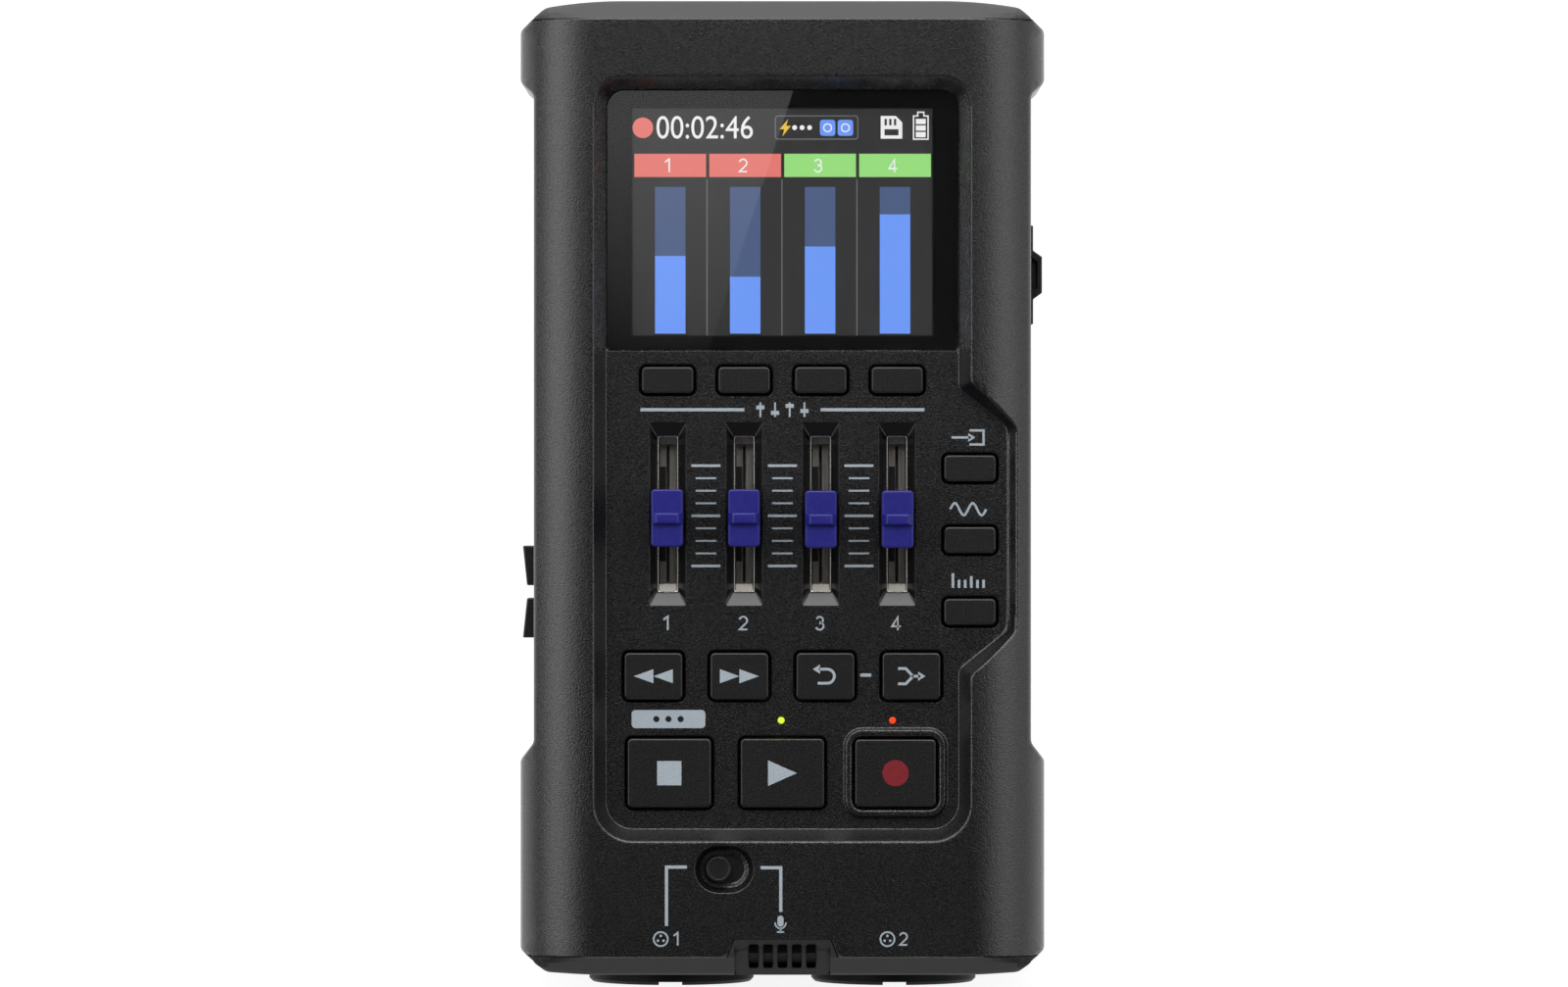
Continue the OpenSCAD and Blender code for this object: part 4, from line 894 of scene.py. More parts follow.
def cap_profile(cap_x):
    """A cap's outline seen from its end, as (x, z), from the middle of the foot round to the top."""
    side = arc((HALF_W - KEEL_R, KEEL_Z + KEEL_R), KEEL_R, KEEL_R, -90, 0, 10)
    bend = arc((HALF_W - SHOULDER_RUN, RIM_Z - SHOULDER_DROP), SHOULDER_RUN, SHOULDER_DROP, 0, 90, 24)
    line = [(0, KEEL_Z)] + side + between(bend, RIM_Z - SHOULDER_DROP, CAP_TOP)
    return [(min(x, cap_x), z) for x, z in line]


def cap_depth(x, z, corners, edge):
    """How far a cap's surface lies behind the end plane."""
    corner = np.interp(np.abs(x), corners[:, 0], corners[:, 1])
    top = (z - CAP_TOP + SLOPE_DROP) * CAP_L / SLOPE_DROP
    low = (KEEL_Z + LOW_RISE - z) * LOW_RUN / LOW_RISE
    depth = soft_max(corner, np.maximum(top, low), CAP_BLEND)
    depth = depth + edge_drop(distance(np.column_stack([np.abs(x), z]), edge), CAP_EDGE_R)
    return np.minimum(depth, CAP_L)


def cap_lines(profile, corners):
    """The lines of a cap's mesh: along its edge, its folds, its corners and its slope."""
    cap_x, cut, slope = corners[-1][0], HALF_W - CORNER_DX, CAP_TOP - SLOPE_DROP
    heights = np.arange(KEEL_Z + SIDE_START, RIM_Z - SIDE_END, SMALL)
    lines = []
    for share in FILLET[1:]:
        d = CAP_EDGE_R * share
        ring = [(x - d * (x > HALF_W - SHOULDER_RUN), z + d) for x, z in profile[1:12]]
        lines += [ring, mirrored(ring)]
        lines += [[(s * (cap_x - d), z) for z in heights] for s in SIDES]
    folds = [KEEL_Z + LOW_RISE + k * FOLD_STEP for k in range(-3, 4)]
    folds += [slope + k * FOLD_STEP for k in range(-4, 5)]
    lines += [across(z, FOLD_GAP) for z in folds]
    spans = (corners[0][0], cut - 0.8, 9), (cut - 0.6, cut + 0.6, 7), (cut + 0.8, cap_x - 0.2, 6)
    for x in np.concatenate([np.linspace(*span) for span in spans]):
        lines += uprights(x, KEEL_Z, CAP_TOP, CORNER_GAP)
    return lines + [across(z, SLOPE_GAP) for z in np.arange(slope + SLOPE_START, CAP_TOP, SLOPE_STEP)]


def collar_hole(centre, grow):
    return circle(centre, COLLAR_R + SEAT_GAP + grow, 72)


def build_cap(name, node, front):
    sign, start = (1, Y_FRONT) if front else (-1, Y_REAR)
    corners = corner_line(front)
    profile = cap_profile(corners[-1][0])
    if front:
        foot, head = [(0, KEEL_Z)], [(MIC_HALF, CAP_TOP), (MIC_HALF, MIC_FOOT_Z), (0, MIC_FOOT_Z)]
    else:
        foot, head = [(0, DOOR_TOP), (DOOR_TOP_HALF, DOOR_TOP), (DOOR_HALF, KEEL_Z)], [(0, CAP_TOP)]
    right = foot + profile[1:] + head
    outer = finer(distinct(right + mirrored(right), CLOSE), MEDIUM, closed=True)
    rims = [(at, collar_hole(at, COLLAR_SECTION[0][0])) for at in (SOCKETS if front else [])]
    p, t = triangulate(outer, [rim for _, rim in rims], cap_lines(profile, corners))
    depth = cap_depth(p[:, 0], p[:, 1], corners, profile)
    build = Build()
    build.add([(x, start + sign * d, z) for (x, z), d in zip(p, depth)], t.tolist())
    for at, rim in rims:
        face = cap_depth(*np.array(rim).T, corners, profile)
        build.rings([[(x, start + sign * (d + sink), z)
                      for (x, z), d in zip(collar_hole(at, grow), face)]
                     for grow, sink in COLLAR_SECTION])
    seam = start + sign * CAP_L
    for a, b in rim_edges(t.tolist()):
        mid = (p[a] + p[b]) / 2
        at_mic = front and abs(mid[0]) < MIC_HALF + NEAR and mid[1] > MIC_FOOT_Z - NEAR
        at_hole = distance(mid[None], outer, True)[0] > NEAR
        if at_mic or at_hole or min(depth[a], depth[b]) > CAP_L - CLOSE:
            continue
        (xa, za), (xb, zb) = p[a], p[b]
        ya, yb = start + sign * depth[a], start + sign * depth[b]
        build.quad((xa, ya, za), (xb, yb, zb), (xb, seam, zb), (xa, seam, za))
    if front:
        add_microphone(build)
    # The front cap takes the darkened copy of the cap plastic (painted shade), the rear cap the
    # brighter one.
    build.piece(name, SHADED_FRONT_CAP if front else REAR_CAP, RUBBER, slot="cap_plastic", nodes=[node], sharp=50)


def mic_height(y):
    ramp = CAP_TOP - (MIC_RAMP_Y - y) * (CAP_TOP - MIC_FOOT_Z) / (MIC_RAMP_Y - Y_FRONT)
    return soft_min(ramp, np.full_like(ramp, CAP_TOP), MIC_BLEND)


def add_microphone(build):
    """The microphone's block: a flat head let into the shell, and a slotted ramp to the cap's face."""
    def slot(k, grow):
        at = (k - (MIC_SLOTS - 1) / 2) * MIC_SLOT_PITCH, sum(MIC_SLOT_Y) / 2
        length = MIC_SLOT_Y[1] - MIC_SLOT_Y[0]
        return round_rect(MIC_SLOT_W + 2 * grow, length + 2 * grow, MIC_SLOT_R + grow, at)

    outline = [(MIC_HALF, Y_FRONT), (MIC_HALF, TONGUE_Y), (-MIC_HALF, TONGUE_Y), (-MIC_HALF, Y_FRONT)]
    slots = [[(slot(k, grow), sink) for grow, sink in MIC_SLOT_SECTION] for k in range(MIC_SLOTS)]
    creases = [finer([(-MIC_HALF, MIC_RAMP_Y + d), (MIC_HALF, MIC_RAMP_Y + d)], 1.0)
               for d in MIC_CREASES]
    p, t = triangulate(finer(outline, 1.0, True), [rows[0][0] for rows in slots], creases)
    build.add(np.column_stack([p, mic_height(p[:, 1])]), t.tolist())
    for rows in slots:
        edge = mic_height(np.array(rows[0][0])[:, 1])
        build.rings([[(x, y, h - sink) for (x, y), h in zip(loop, edge)] for loop, sink in rows])
    for s in SIDES:
        ear = [(s * MIC_HALF, CAP_FRONT_Y), (s * MIC_BASE_HALF, CAP_FRONT_Y), (s * MIC_HALF, TONGUE_Y)]
        build.prism(ear, CAP_TOP - WALL, CAP_TOP)
        wall = [(MIC_RAMP_Y, CAP_TOP), (CAP_FRONT_Y, CAP_TOP), (Y_FRONT, CAP_TOP - SLOPE_DROP),
                (Y_FRONT, MIC_FOOT_Z)]
        build.quad(*[(s * MIC_HALF, y, z) for y, z in wall])
    bands = [(a, b, 1) for a, b in zip(MIC_CLOTH, MIC_CLOTH[1:])]
    for (y0, z0), (y1, z1), look in bands + [((TONGUE_Y, CAP_TOP), (TONGUE_Y, CAP_TOP - WALL), 0)]:
        corners = [(-MIC_HALF, y0, z0), (MIC_HALF, y0, z0), (MIC_HALF, y1, z1), (-MIC_HALF, y1, z1)]
        build.quad(*corners, look=look)


build_cap("front_cap", "front_end_cap", True)
build_cap("rear_cap", "rear_end_cap", False)


# Buttons, with their symbols

INK = 0.02
SYMBOL_W, SYMBOL_L, SYMBOL_LINE, SYMBOL_HEAD = 3.05, 2.2, 0.42, 1.15
STOP_W, PLAY_W, PLAY_L, RECORD_R = 3.8, 4.5, 4.0, 2.05
UNDO_R, BOUNCE_H = 1.1, 1.2


def build_key(node):
    low, high = reach(node)

    def loop(inset):
        return key_loop(node, -inset, KEY_R - inset * 0.6)

    build = Build()
    build.rings([flat(loop(0), low[2])] + crown_rings(loop, high[2], KEY_EDGE_R), end=True)
    build.piece(node.replace("button", "key"), KEY, body=node, slot="key_plastic", nodes=[node])


def triangle(cx, cy, w, l, sign=1):
    """A triangle of width w and length l that points along sign."""
    return [(cx - sign * w / 2, cy - l / 2), (cx + sign * w / 2, cy), (cx - sign * w / 2, cy + l / 2)]


def arrow_head(tip, turn, size):
    """A small triangle at tip that points along turn degrees."""
    t = radians(turn)
    back = [(-size, size * 0.62), (0, 0), (-size, -size * 0.62)]
    return [(tip[0] + u * cos(t) - v * sin(t), tip[1] + u * sin(t) + v * cos(t)) for u, v in back]


def build_symbol(node):
    """The mark of one transport or edit button."""
    cx, cy, _ = middle(node)
    top = reach(node)[1][2]
    ink = Ink().at(top - INK, top + INK)
    if node in ("rewind_button", "forward_button"):
        sign = -1 if node == "rewind_button" else 1
        for k in (-0.5, 0.5):
            ink.fill(triangle(cx + k * SYMBOL_W, cy, SYMBOL_W, SYMBOL_L, sign))
    elif node == "stop_button":
        ink.fill(round_rect(STOP_W, STOP_W, 0.05, (cx, cy), 2))
    elif node == "play_button":
        ink.fill(triangle(cx, cy, PLAY_W, PLAY_L))
    elif node == "record_button":
        ink.fill(circle((cx, cy), RECORD_R))
    elif node == "undo_button":
        bend = arc((cx + 0.3, cy), UNDO_R, UNDO_R, -90, 90, 14)
        ink.line([(cx - 1.2, cy - UNDO_R)] + bend + [(cx - 1.0, cy + UNDO_R)], SYMBOL_LINE)
        ink.fill(arrow_head((cx - 2.0, cy + UNDO_R), 180, SYMBOL_HEAD))
    else:
        for s in SIDES:
            y = cy + s * BOUNCE_H
            ink.line([(cx - 2.1, y), (cx - 0.9, y), (cx + 0.25, cy)], SYMBOL_LINE)
        ink.line([(cx + 0.1, cy), (cx + 1.4, cy)], SYMBOL_LINE)
        ink.fill(arrow_head((cx + 2.2, cy), 0, SYMBOL_HEAD))
    material = RED_PRINT if node == "record_button" else PRINT
    ink.piece(node.replace("button", "symbol"), material, body=node, slot="key_plastic")


for node in KEYS:
    build_key(node)
    if node in MID_KEYS + BIG_KEYS:
        build_symbol(node)


# Faders: a knob with a ridge on a blade, and under each slot a pressed steel frame with a slit track

KNOB_R, KNOB_EDGE_R = 0.6, 0.32
RIDGE_H, RIDGE_END, RIDGE_EDGE, RIDGE_R = 0.9, 0.72, 0.1, 0.12
RIDGE_BASE, RIDGE_TOP = (-1.0, 0.88), (-0.78, 0.72)
RIDGE_STEPS = [(-0.15, 0), (0, 0), (0.06, 0), (0.5, 0), (0.86, 0), (0.94, 0.05), (1, 0.22)]
LEVER_W, LEVER_R, CARRIAGE_H = 0.4, 0.15, 1.0
FRAME_R, FRAME_WALL, FRAME_EDGE_R = 0.3, 0.5, 0.5
RAIL_W, RAIL_T, RAIL_H = 2.86, 0.24, 0.6
RAIL_L = MOUTH_L - 2 * RAIL_T - 0.1
TRACK_DROP, TRACK_T, TRACK_GAP, TRACK_GAP_H = 1.9, 0.3, 0.16, 0.9
SLIT_W, SLIT_L = 0.48, 21.4
CARBON_X, CARBON_W, CARBON_L = -0.78, 0.94, 14.9
TAB_L, TAB_DROP, TAB_T = 1.15, 0.3, 0.2
TAB_X = RAIL_W / 2 - 0.1


def build_fader(i):
    node = f"fader_knob_{i}"
    low, high = reach(node)
    at, (w, l) = middle(node)[:2], size(node)[:2]
    deck = high[2] - RIDGE_H

    def loop(inset):
        return round_rect(w - 2 * inset, l - 2 * inset, KNOB_R - inset, at)

    build = Build()
    build.rings([flat(loop(0), low[2])] + crown_rings(loop, deck, KNOB_EDGE_R), True, True)
    bar = []
    for share, soft in RIDGE_STEPS:
        y0, y1 = (a + (b - a) * share for a, b in zip(RIDGE_BASE, RIDGE_TOP))
        x = w / 2 - RIDGE_EDGE - RIDGE_END * max(share, 0)
        place = (at[0], at[1] + (y0 + y1) / 2)
        outline = round_rect(2 * (x - soft), y1 - y0 - 2 * soft, RIDGE_R, place, 3)
        bar.append(flat(outline, deck + RIDGE_H * share))
    build.rings(bar, end=True)
    build.piece(f"fader_cap_{i}", FADER, body=f"fader_{i}", slot="fader_plastic", nodes=[node],
                sharp=30)


def add_fader_frame(build, x):
    """A folded rim round an open mouth, bent end tabs, and a track with a slit and a carbon strip."""
    low, high = reach("fader_housings")
    top, base = high[2], low[2]
    width, length = high[0] - low[0] - FADER_X[-1] + FADER_X[0], high[1] - low[1]
    turns = [radians(turn) for turn in range(0, 181, 30)]
    bead = [(RAIL_T * (1 + cos(t)) / 2, RAIL_T * (1 - sin(t))) for t in turns]
    track, under = top - TRACK_DROP, top - TRACK_DROP - TRACK_T

    def ring(w, l, z, r=FRAME_R, y=SLOT_Y):
        return flat(round_rect(w, l, r, (x, y)), z)

    def body_ring(inset, z, r=FRAME_R):
        return ring(width - 2 * inset, length - 2 * inset, z, r, FADER_Y)

    foot = ring(RAIL_W + 2 * RAIL_T, RAIL_L + 2 * RAIL_T, top - RAIL_H)
    rim = [ring(RAIL_W + 2 * grow, RAIL_L + 2 * grow, top - fall) for grow, fall in bead]
    build.rings([body_ring(0, z, FRAME_EDGE_R) for z in (base, top - RAIL_H)] + [foot], start=True)
    # look 1 is the lighter copy of the steel: a painted highlight on the rim.
    build.rings([foot] + rim, look=1)
    build.rings([rim[-1], ring(RAIL_W, RAIL_L, track - TRACK_GAP_H)]
                + [ring(RAIL_W - 2 * TRACK_GAP, RAIL_L, z) for z in (track - TRACK_GAP_H, track)]
                + [ring(SLIT_W, SLIT_L, z) for z in (track, under)]
                + [body_ring(FRAME_WALL, z) for z in (under - 1, base + FRAME_WALL)], end=True)
    for s in SIDES:
        end, tip = SLOT_Y + s * RAIL_L / 2, SLOT_Y + s * (RAIL_L / 2 - TAB_L)
        roof, fold = top - RAIL_T, top - RAIL_T - TAB_DROP
        section = [(end, roof), (tip, fold), (tip, fold - TAB_T), (end, roof - TAB_T)]
        # The front tab (look 3) takes the brighter copy of the steel, a painted highlight. The rear tab
        # keeps the plain steel.
        build.rings([[(x + u, y, z) for y, z in section] for u in (-TAB_X, TAB_X)], True, True,
                    look=3 if s < 0 else 0)
    carbon = round_rect(CARBON_W, CARBON_L, 0.1, (x + CARBON_X, SLOT_Y), 2)
    build.prism(carbon, track - INK, track + INK, look=2)


def build_fader_frames():
    build = Build()
    for x in FADER_X:
        add_fader_frame(build, x)
    build.piece("fader_frames", STEEL, LIT_RIM_STEEL, BLACK, LIT_TAB_STEEL, slot="steel",
                nodes=["fader_housings"])


def build_lever(i):
    """A blade that runs in the slit of the track, on a carriage under it."""
    node = f"fader_lever_{i}"
    low, high = reach(node)
    w, l = size(node)[:2]
    shelf = low[2] + CARRIAGE_H
    steps = [(w, low[2]), (w, shelf), (LEVER_W, shelf), (LEVER_W, high[2])]
    build = Build()
    at = middle(node)[:2]
    build.rings([flat(round_rect(wide, l, LEVER_R, at), z) for wide, z in steps], True, True)
    build.piece(node + "_finish", STEEL, body=f"fader_{i}", nodes=[node])


build_fader_frames()
for i in FADERS:
    build_fader(i)
    build_lever(i)


# The selector: a round knob with a hollow top, on a plate that closes its dish

SELECTOR_SECTION = [(0, 0.3), (0.04, 0.15), (0.12, 0.04), (0.26, 0), (0.36, 0.01), (0.44, 0.04),
                    (0.55, 0.05)]
SELECTOR_FOOT, SELECTOR_EYE_R = 2.2, 0.35
SHUTTER_GAP, SHUTTER_T, SHUTTER_LAP = 0.45, 0.5, 0.6


def build_selector():
    low, high = reach("selector_knob")
    at, r = middle("selector_knob")[:2], SELECTOR_D / 2
    section = [(r, low[2] + SELECTOR_FOOT)]
    section += [(r - inset, high[2] - fall) for inset, fall in SELECTOR_SECTION]
    section.append((SELECTOR_EYE_R, section[-1][1]))
    build = Build()
    build.rings([flat(circle(at, q, 40), z) for q, z in section], end=True)
    shutter = RIM_Z - DISH_DEPTH - SHUTTER_GAP
    build.prism(stadium(r + SHUTTER_LAP, SELECTOR_TRAVEL, at), shutter - SHUTTER_T, shutter)
    build.piece("selector_cap", KEY, body="selector_knob", slot="key_plastic", nodes=["selector_knob"])


build_selector()


# Print on the panel and the rim

LINE_W, ICON_W, THIN_W = 0.5, 0.36, 0.24
LEGEND_Y, LEGEND_X = middle("track_button_1")[1] - 4.63, (5.98, 22.24)
TINY_FADERS, TINY_PITCH, TINY_H, TINY_W = (0.35, -0.5, 0.6, -0.2), 2.3, 1.15, 0.28
TICK_Y, TICK_PITCH, TICKS = FADER_Y - 0.07, 1.963, 9
LONG_TICK, SHORT_TICK = (2.27, 0.4), (1.61, 0.28)
NUMBER_H, NUMBER_DX, NUMBER_DY = 2.15, -0.15, -16.9
DASH, DASH_HALF = (13.04, middle("undo_button")[1] + 0.15), 0.85
PILL = (middle("stop_button")[0] - 0.14, middle("stop_button")[1] + 8.43)
PILL_W, PILL_L, PILL_R = 11.55, 2.85, 0.6
PILL_DOT_R, PILL_DOT_PITCH = 0.48, 1.9
ICON_X, ICON_RISE, ICON_H = middle("input_button")[0] - 0.26, 4.83, 1.1
OPEN_FRAME = (0.2, 1), (2.4, 1), (2.4, -1), (0.2, -1)
WAVE_W, WAVE_H, WAVE_STEPS = 5.6, 0.95, 36
BEATS, BEAT_H, BEAT_W, BEAT_PITCH = (1.0, 0.55, 0.55, 0.8, 0.55, 0.55), 2.3, 0.42, 0.96
MIC_SIGN = (-0.3, SELECTOR[1] - 8.6)
PLUG_SIGN_Y, PLUG_SIGN_R, PLUG_SIGN_W, PIN_RING_R, PIN_R = SELECTOR[1] - 10.9, 1.1, 0.26, 0.5, 0.2


def print_panel(ink):
    for s in SIDES:
        ink.line([(s * x, LEGEND_Y) for x in LEGEND_X], LINE_W)
    for k, level in enumerate(TINY_FADERS):
        x = (k - 1.5) * TINY_PITCH
        ink.line([(x, LEGEND_Y - TINY_H), (x, LEGEND_Y + TINY_H)], TINY_W)
        ink.prism(round_rect(1.3, 0.62, 0.1, (x, LEGEND_Y + level), 2), ink.low, ink.high + INK / 2)
    for a, b in zip(FADER_X, FADER_X[1:]):
        for k in range(TICKS):
            y = TICK_Y + (k - (TICKS - 1) / 2) * TICK_PITCH
            half, thick = SHORT_TICK if k % 4 else LONG_TICK
            ink.line([((a + b) / 2 - half, y), ((a + b) / 2 + half, y)], thick)
    for i, x in zip(FADERS, FADER_X):
        ink.figure(i, NUMBER_H, (x + NUMBER_DX, FADER_Y + NUMBER_DY))
    ink.line([(DASH[0] - DASH_HALF, DASH[1]), (DASH[0] + DASH_HALF, DASH[1])], LINE_W)
    ink.fill(round_rect(PILL_W, PILL_L, PILL_R, PILL))


def print_icons(ink):
    """Over the function buttons: an arrow into a frame, a wave and a row of beats."""
    x, (enter, wave, beat) = ICON_X, [middle(node)[1] + ICON_RISE for node in FUNCTION_KEYS]
    ink.line([(x - 2.6, enter), (x + 0.4, enter)], ICON_W)
    ink.fill(arrow_head((x + 1.1, enter), 0, 1.1))
    ink.line([(x + dx, enter + dy * ICON_H) for dx, dy in OPEN_FRAME], ICON_W)
    shares = [k / WAVE_STEPS for k in range(WAVE_STEPS + 1)]
    ink.line([(x + WAVE_W * (t - 0.5), wave + WAVE_H * sin(4 * pi * t)) for t in shares], ICON_W)
    for k, size in enumerate(BEATS):
        at = (x - 2.4 + k * BEAT_PITCH, beat - ICON_H + BEAT_H / 2 * size)
        ink.fill(round_rect(BEAT_W, BEAT_H * size, 0.05, at, 2))


def print_rim(ink):
    """Beside the selector: lines to a socket face and to a microphone."""
    sy, (mx, my) = SELECTOR[1], MIC_SIGN
    ink.line([(-14.9, sy + 0.35), (-18.1, sy + 0.35), (-18.1, sy - 8.85)], LINE_W)
    ink.line([(-3.4, sy + 0.25), (-0.26, sy + 0.25), (-0.26, sy - 6.65)], LINE_W)
    ink.fill(round_rect(0.95, 1.7, 0.45, (mx, my + 0.5)))
    ink.line(arc((mx, my + 0.3), 0.85, 0.95, 180, 360, 14), THIN_W)
    ink.line([(mx, my - 0.65), (mx, my - 1.15)], THIN_W)
    ink.line([(mx - 0.55, my - 1.2), (mx + 0.55, my - 1.2)], THIN_W)
    for number, (x, _) in enumerate(SOCKETS, 1):
        face = (x - 1.3, PLUG_SIGN_Y)
        ink.line(circle(face, PLUG_SIGN_R, 28), PLUG_SIGN_W, closed=True)
        for pin in arc(face, PIN_RING_R, PIN_RING_R, 90, 330, 2):
            ink.fill(circle(pin, PIN_R, 12))
        ink.figure(number, 2.0, (x + 1.2, PLUG_SIGN_Y))


def build_print():
    ink = Ink().at(PANEL_Z - INK, PANEL_Z + INK)
    print_panel(ink)
    print_icons(ink)
    print_rim(ink.at(RIM_Z - INK, RIM_Z + INK))
    ink.piece("panel_print", PRINT, slot="shell_plastic")
    dots = Ink().at(PANEL_Z, PANEL_Z + 2 * INK)
    for k in (-1, 0, 1):
        dots.fill(circle((PILL[0] + k * PILL_DOT_PITCH, PILL[1]), PILL_DOT_R, 20))
    dots.piece("pill_dots", BLACK, slot="shell_plastic")


build_print()


# The display: a printed frame behind the window, and a lit screen drawn in its dots

SCREEN_Y = middle("lcd_module")[1]
UI_LAYER, UI_THICK = 0.02, 0.6
MASK_DROP, MASK_DEPTH, MASK_LAP = 0.04, 0.5, 1.5
COLOURS = {"backdrop": (38, 38, 38), "white": (246, 246, 246), "coral": (234, 122, 112),
           "green": (154, 228, 126), "blue": (110, 157, 252), "dim_blue": (72, 91, 131),
           "amber": (240, 200, 70), "line": (120, 120, 122)}
BOLT = [(166, 11.5), (157, 22), (162, 22), (160, 29.5), (169, 18.5), (164, 18.5)]
CARD = [(265, 8), (281, 8), (288, 15), (288, 32), (265, 32)]
BATTERY = [(300, 8), (304.5, 8), (304.5, 4), (311, 4), (311, 8), (315.5, 8), (315.5, 32.5), (300, 32.5)]
CHIP_W, METER, HEADER = 16.5, (24, 56.5), (2, 78.5)
METER_TOP, METER_BOTTOM, LEVELS = 83, 238, (156, 178, 146, 112)
COLUMN_W = DOTS_W / len(LEVELS)


def dot_place(u, v):
    """A place on the screen, in its dots from the upper left corner."""
    return (u - DOTS_W / 2) * DOT, SCREEN_Y + (DOTS_L / 2 - v) * DOT_V


def dot_box(u0, v0, u1, v1, r=0.02):
    x0, y1 = dot_place(u0, v0)
    x1, y0 = dot_place(u1, v1)
    return round_rect(x1 - x0, y1 - y0, r, ((x0 + x1) / 2, (y0 + y1) / 2), 3)


def build_mask():
    mask = Build()
    outer = tablet(WINDOW_HIGH[0] - SEAT_GAP, WINDOW_LOW[1] + SEAT_GAP, WINDOW_HIGH[1] - SEAT_GAP,
                   WINDOW_R - SEAT_GAP, WINDOW_TOP_R - SEAT_GAP, 8)
    hole = dot_box(-MASK_LAP, -MASK_LAP, DOTS_W + MASK_LAP, DOTS_L + MASK_LAP, 0.15)
    p, t = triangulate(outer, [hole])
    z = WINDOW_LOW[2] - MASK_DROP
    mask.add(flat(p, z), t.tolist())
    mask.rings([flat(hole, z), flat(hole, z - MASK_DEPTH)])
    mask.piece("window_mask", MASK, slot="black_plastic")


def build_screen():
    layers = {name: Ink() for name in COLOURS}

    def on(name, level=1):
        return layers[name].at(SCREEN_Z + level * UI_LAYER, SCREEN_Z + (level + UI_THICK) * UI_LAYER)

    def places(dots):
        return [dot_place(u, v) for u, v in dots]

    on("backdrop", 0.4).fill(dot_box(0, 0, DOTS_W, DOTS_L))
    on("coral").fill(circle(dot_place(11, 20.5), 11 * DOT, 40))
    on("white").text("00:02:46", 24 * DOT_V, dot_place(77, 20), 0.88)
    on("line").line(dot_box(152.5, 8, 240.5, 32.5, 0.4), DOT, closed=True)
    on("amber").fill(places(BOLT))
    for u in (173, 181, 189):
        on("white").fill(circle(dot_place(u, 20.3), 2.6 * DOT, 16))
    for u in (200, 219):
        on("blue").fill(dot_box(u, 12, u + CHIP_W, 29, 0.45))
        ring = circle(dot_place(u + CHIP_W / 2, 20.5), 4.2 * DOT, 20)
        on("white", 2).line(ring, 1.3 * DOT, closed=True)
    on("white").fill(places(CARD))
    for u in (269, 274, 279):
        on("backdrop", 2).fill(dot_box(u, 11, u + 2.5, 18))
    on("backdrop", 2).fill(dot_box(269, 22, 284, 28.5))
    on("white").line(places(BATTERY), 1.4 * DOT, closed=True)
    for v in (11, 18, 25):
        on("white").fill(dot_box(302.5, v, 313, v + 5.5))
    for k, level in enumerate(LEVELS):
        u = COLUMN_W * k
        on("coral" if k < 2 else "green").fill(dot_box(u + HEADER[0], 48, u + HEADER[1], 72.5))
        on("white", 2).figure(k + 1, 14 * DOT_V, dot_place(u + 38, 60.5), 0.11)
        on("dim_blue").fill(dot_box(u + METER[0], METER_TOP, u + METER[1], level))
        on("blue").fill(dot_box(u + METER[0], level, u + METER[1], METER_BOTTOM))
        if k:
            on("line").fill(dot_box(u - 1, 75, u, DOTS_L))
    for name, ink in layers.items():
        ink.piece("screen_" + name, glowing("screen_" + name, COLOURS[name]), slot="screen")


build_mask()
build_screen()


# CAD nodes that keep their shape: outer ones get soft edges, hidden ones only a material

OUTER = [
    (SHELL, 0.3, "bottom_case"), (SHELL, 0.25, "battery_door"), (RUBBER, 0.3, "rubber_feet"),
    (STEEL, 0.08, "case_screws"), (BLACK, 0.2, "jack_a_housing jack_b_housing"),
    (BLACK, 0.1, "jack_a_core jack_b_core phones_jack line_out_jack"), (KEY, 0.25, "power_slider"),
    (KEY, 0.2, "volume_up_button volume_down_button"), (STEEL, 0.05, "usb_socket card_socket"),
    (RUBBER, 0.1, "mic_boot"), (WINDOW, 0.05, "display_window"), (GREEN_LIGHT, 0.08, "play_light_pipe"),
    (RED_LIGHT, 0.08, "record_light_pipe"),
]
HIDDEN = [
    (BLACK, "lcd_module button_switches volume_switches indicator_leds"),
    (STEEL, "lcd_bracket selector_switch power_switch mic_capsules battery_contacts board_screws"),
    (BOARD, "main_board jack_board"), (CELL, "batteries"),
]
MOVING = ["battery_door", "power_slider"] + VOLUME_KEYS
for material, bevel, nodes in OUTER:
    for node in nodes.split():
        restyle(node, material, node if node in MOVING else "case", bevel)
for material, nodes in HIDDEN:
    for node in nodes.split():
        mesh = frame["nodes"][node].data
        mesh.materials.clear()
        mesh.materials.append(material)


# Camera, light and floor: a view straight down

VIEW_W, VIEW_Z, CAMERA_RISE, SENSOR_W = 247.2, 32.0, 1200.0, 36
CAMERA_XY = (0.25, 0.12)
camera_data = bpy.data.cameras.new("camera")
camera_data.sensor_fit = "HORIZONTAL"
camera_data.sensor_width = SENSOR_W
camera_data.lens = SENSOR_W * CAMERA_RISE / VIEW_W
camera_data.clip_end = 100
camera = show("camera", camera_data)
camera.location = (CAMERA_XY[0] * MM, CAMERA_XY[1] * MM, (VIEW_Z + CAMERA_RISE) * MM)
bpy.context.scene.camera = camera


def softbox(name, at, area, power, aim=(0, 0, 0.03)):
    """A rectangular lamp: its place and size in metres."""
    light = bpy.data.lights.new(name, "AREA")
    light.shape = "RECTANGLE"
    light.size, light.size_y = area
    light.energy = power
    holder = show(name, light)
    holder.location = at
    holder.rotation_euler = (Vector(aim) - Vector(at)).to_track_quat("-Z", "Y").to_euler()


softbox("left_box", (-0.95, 0.2, 0.85), (1.1, 0.9), 8.2)
softbox("right_box", (0.9, 0.2, 0.95), (1.0, 0.8), 4.9)
softbox("right_card", (1.05, -0.1, 0.28), (0.9, 0.4), 1.0)
softbox("rear_box", (0, 0.62, 0.66), (1.0, 0.5), 7.4)
softbox("rear_card", (0, 0.75, 0.24), (1.6, 0.5), 5)
softbox("front_box", (0, -1.1, 0.5), (1.6, 0.6), 2.2)

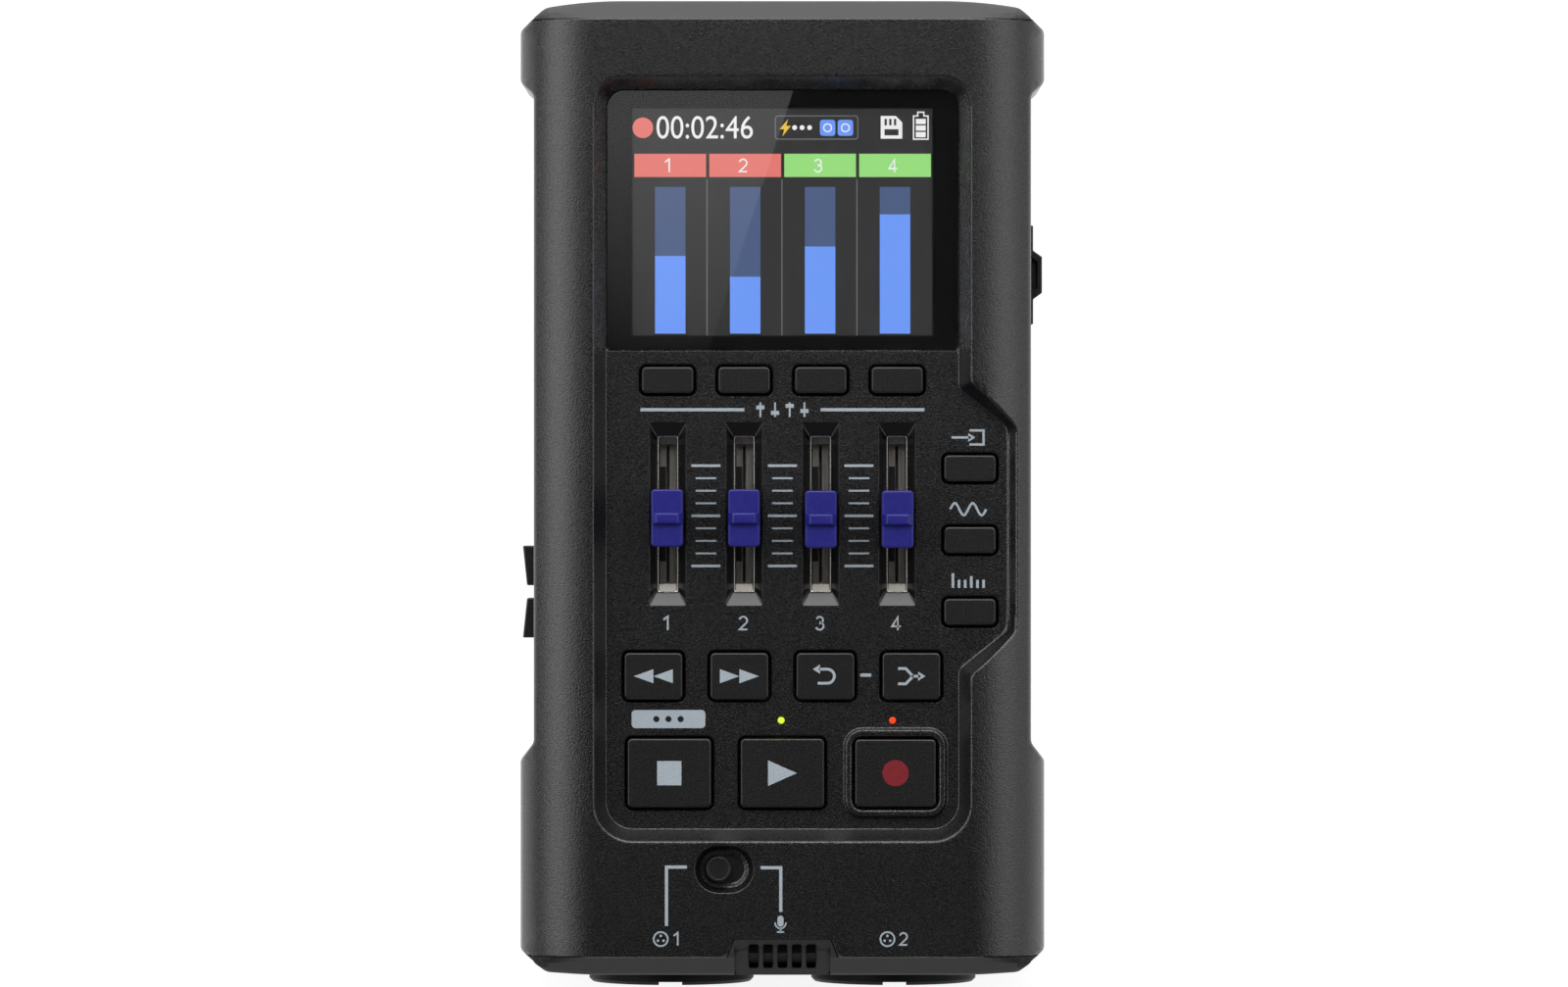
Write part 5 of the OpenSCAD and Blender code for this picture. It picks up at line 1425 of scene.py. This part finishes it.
GLARE_AT, GLARE_RISE, GLARE_TURN = (3.0, 126.6), 15, 18.0
GLARE_W, GLARE_L, GLARE_LEVEL = 130.0, (-112.0, 25.0), 0.62
GLARE_NONE, GLARE_FULL = -91.0, -7.0
FLOOR_HALF, FLOOR_GLOW = 30.0, 0.85


def studio_sheet(name, material, corners, location=(0, 0, 0)):
    """A flat sheet that isn't part of the object."""
    mesh = bpy.data.meshes.new(name)
    mesh.from_pydata([(x, y, 0) for x, y in corners], [], [[0, 1, 2, 3]])
    mesh.materials.append(material)
    sheet = show(name, mesh)
    sheet.location = location


def build_glare():
    """A pale sheet over the camera. The window mirrors it as a slanting glare."""
    look = Look("glare_sheet", {"Base Color": (0, 0, 0, 1), "Emission Color": (1, 1, 1, 1),
                                "Specular IOR Level": 0.0})
    split = look.add("SeparateXYZ")
    look.link(look.place(), split, "Vector")
    fade = look.ramp(split.outputs["Y"], 0.0, GLARE_LEVEL, GLARE_NONE * MM, GLARE_FULL * MM)
    look.link(fade, look.shader, "Emission Strength")
    t = radians(GLARE_TURN)
    corners = [(-GLARE_W, GLARE_L[0]), (0, GLARE_L[0]), (0, GLARE_L[1]), (-GLARE_W, GLARE_L[1])]
    turned = [((x * cos(t) + y * sin(t)) * MM, (y * cos(t) - x * sin(t)) * MM) for x, y in corners]
    height = VIEW_Z + CAMERA_RISE + GLARE_RISE
    place = (GLARE_AT[0] * MM, GLARE_AT[1] * MM, height * MM)
    studio_sheet("glare_sheet", look.material, turned, place)


def build_floor():
    """A pale floor that camera, mirror and glass see as white, with the object's shadow on it."""
    look = Look("floor", {"Base Color": (0.8, 0.8, 0.8, 1), "Roughness": 0.9,
                          "Specular IOR Level": 0.0})
    paths = look.add("LightPath").outputs
    rays = paths["Is Camera Ray"]
    for kind in ("Is Transmission Ray", "Is Glossy Ray"):
        either = look.add("Math", operation="MAXIMUM")
        look.link(rays, either, 0)
        look.link(paths[kind], either, 1)
        rays = either.outputs["Value"]
    paper = look.add("AddShader")
    look.link(look.add("Emission", {"Strength": FLOOR_GLOW}).outputs["Emission"], paper, 0)
    look.link(look.add("BsdfDiffuse", {"Color": (0.25, 0.25, 0.25, 1)}).outputs["BSDF"], paper, 1)
    choose = look.add("MixShader")
    look.link(rays, choose, "Fac")
    look.link(look.shader.outputs["BSDF"], choose, 1)
    look.link(paper.outputs["Shader"], choose, 2)
    look.link(choose.outputs["Shader"], look.tree.nodes["Material Output"], "Surface")
    half = FLOOR_HALF
    studio_sheet("floor", look.material, [(-half, -half), (half, -half), (half, half), (-half, half)])


build_glare()
build_floor()
world = bpy.data.worlds.new("studio")
world.use_nodes = True
world.node_tree.nodes["Background"].inputs["Color"].default_value = (0.03, 0.03, 0.03, 1)
bpy.context.scene.world = world
bpy.context.scene.view_settings.view_transform = "Standard"
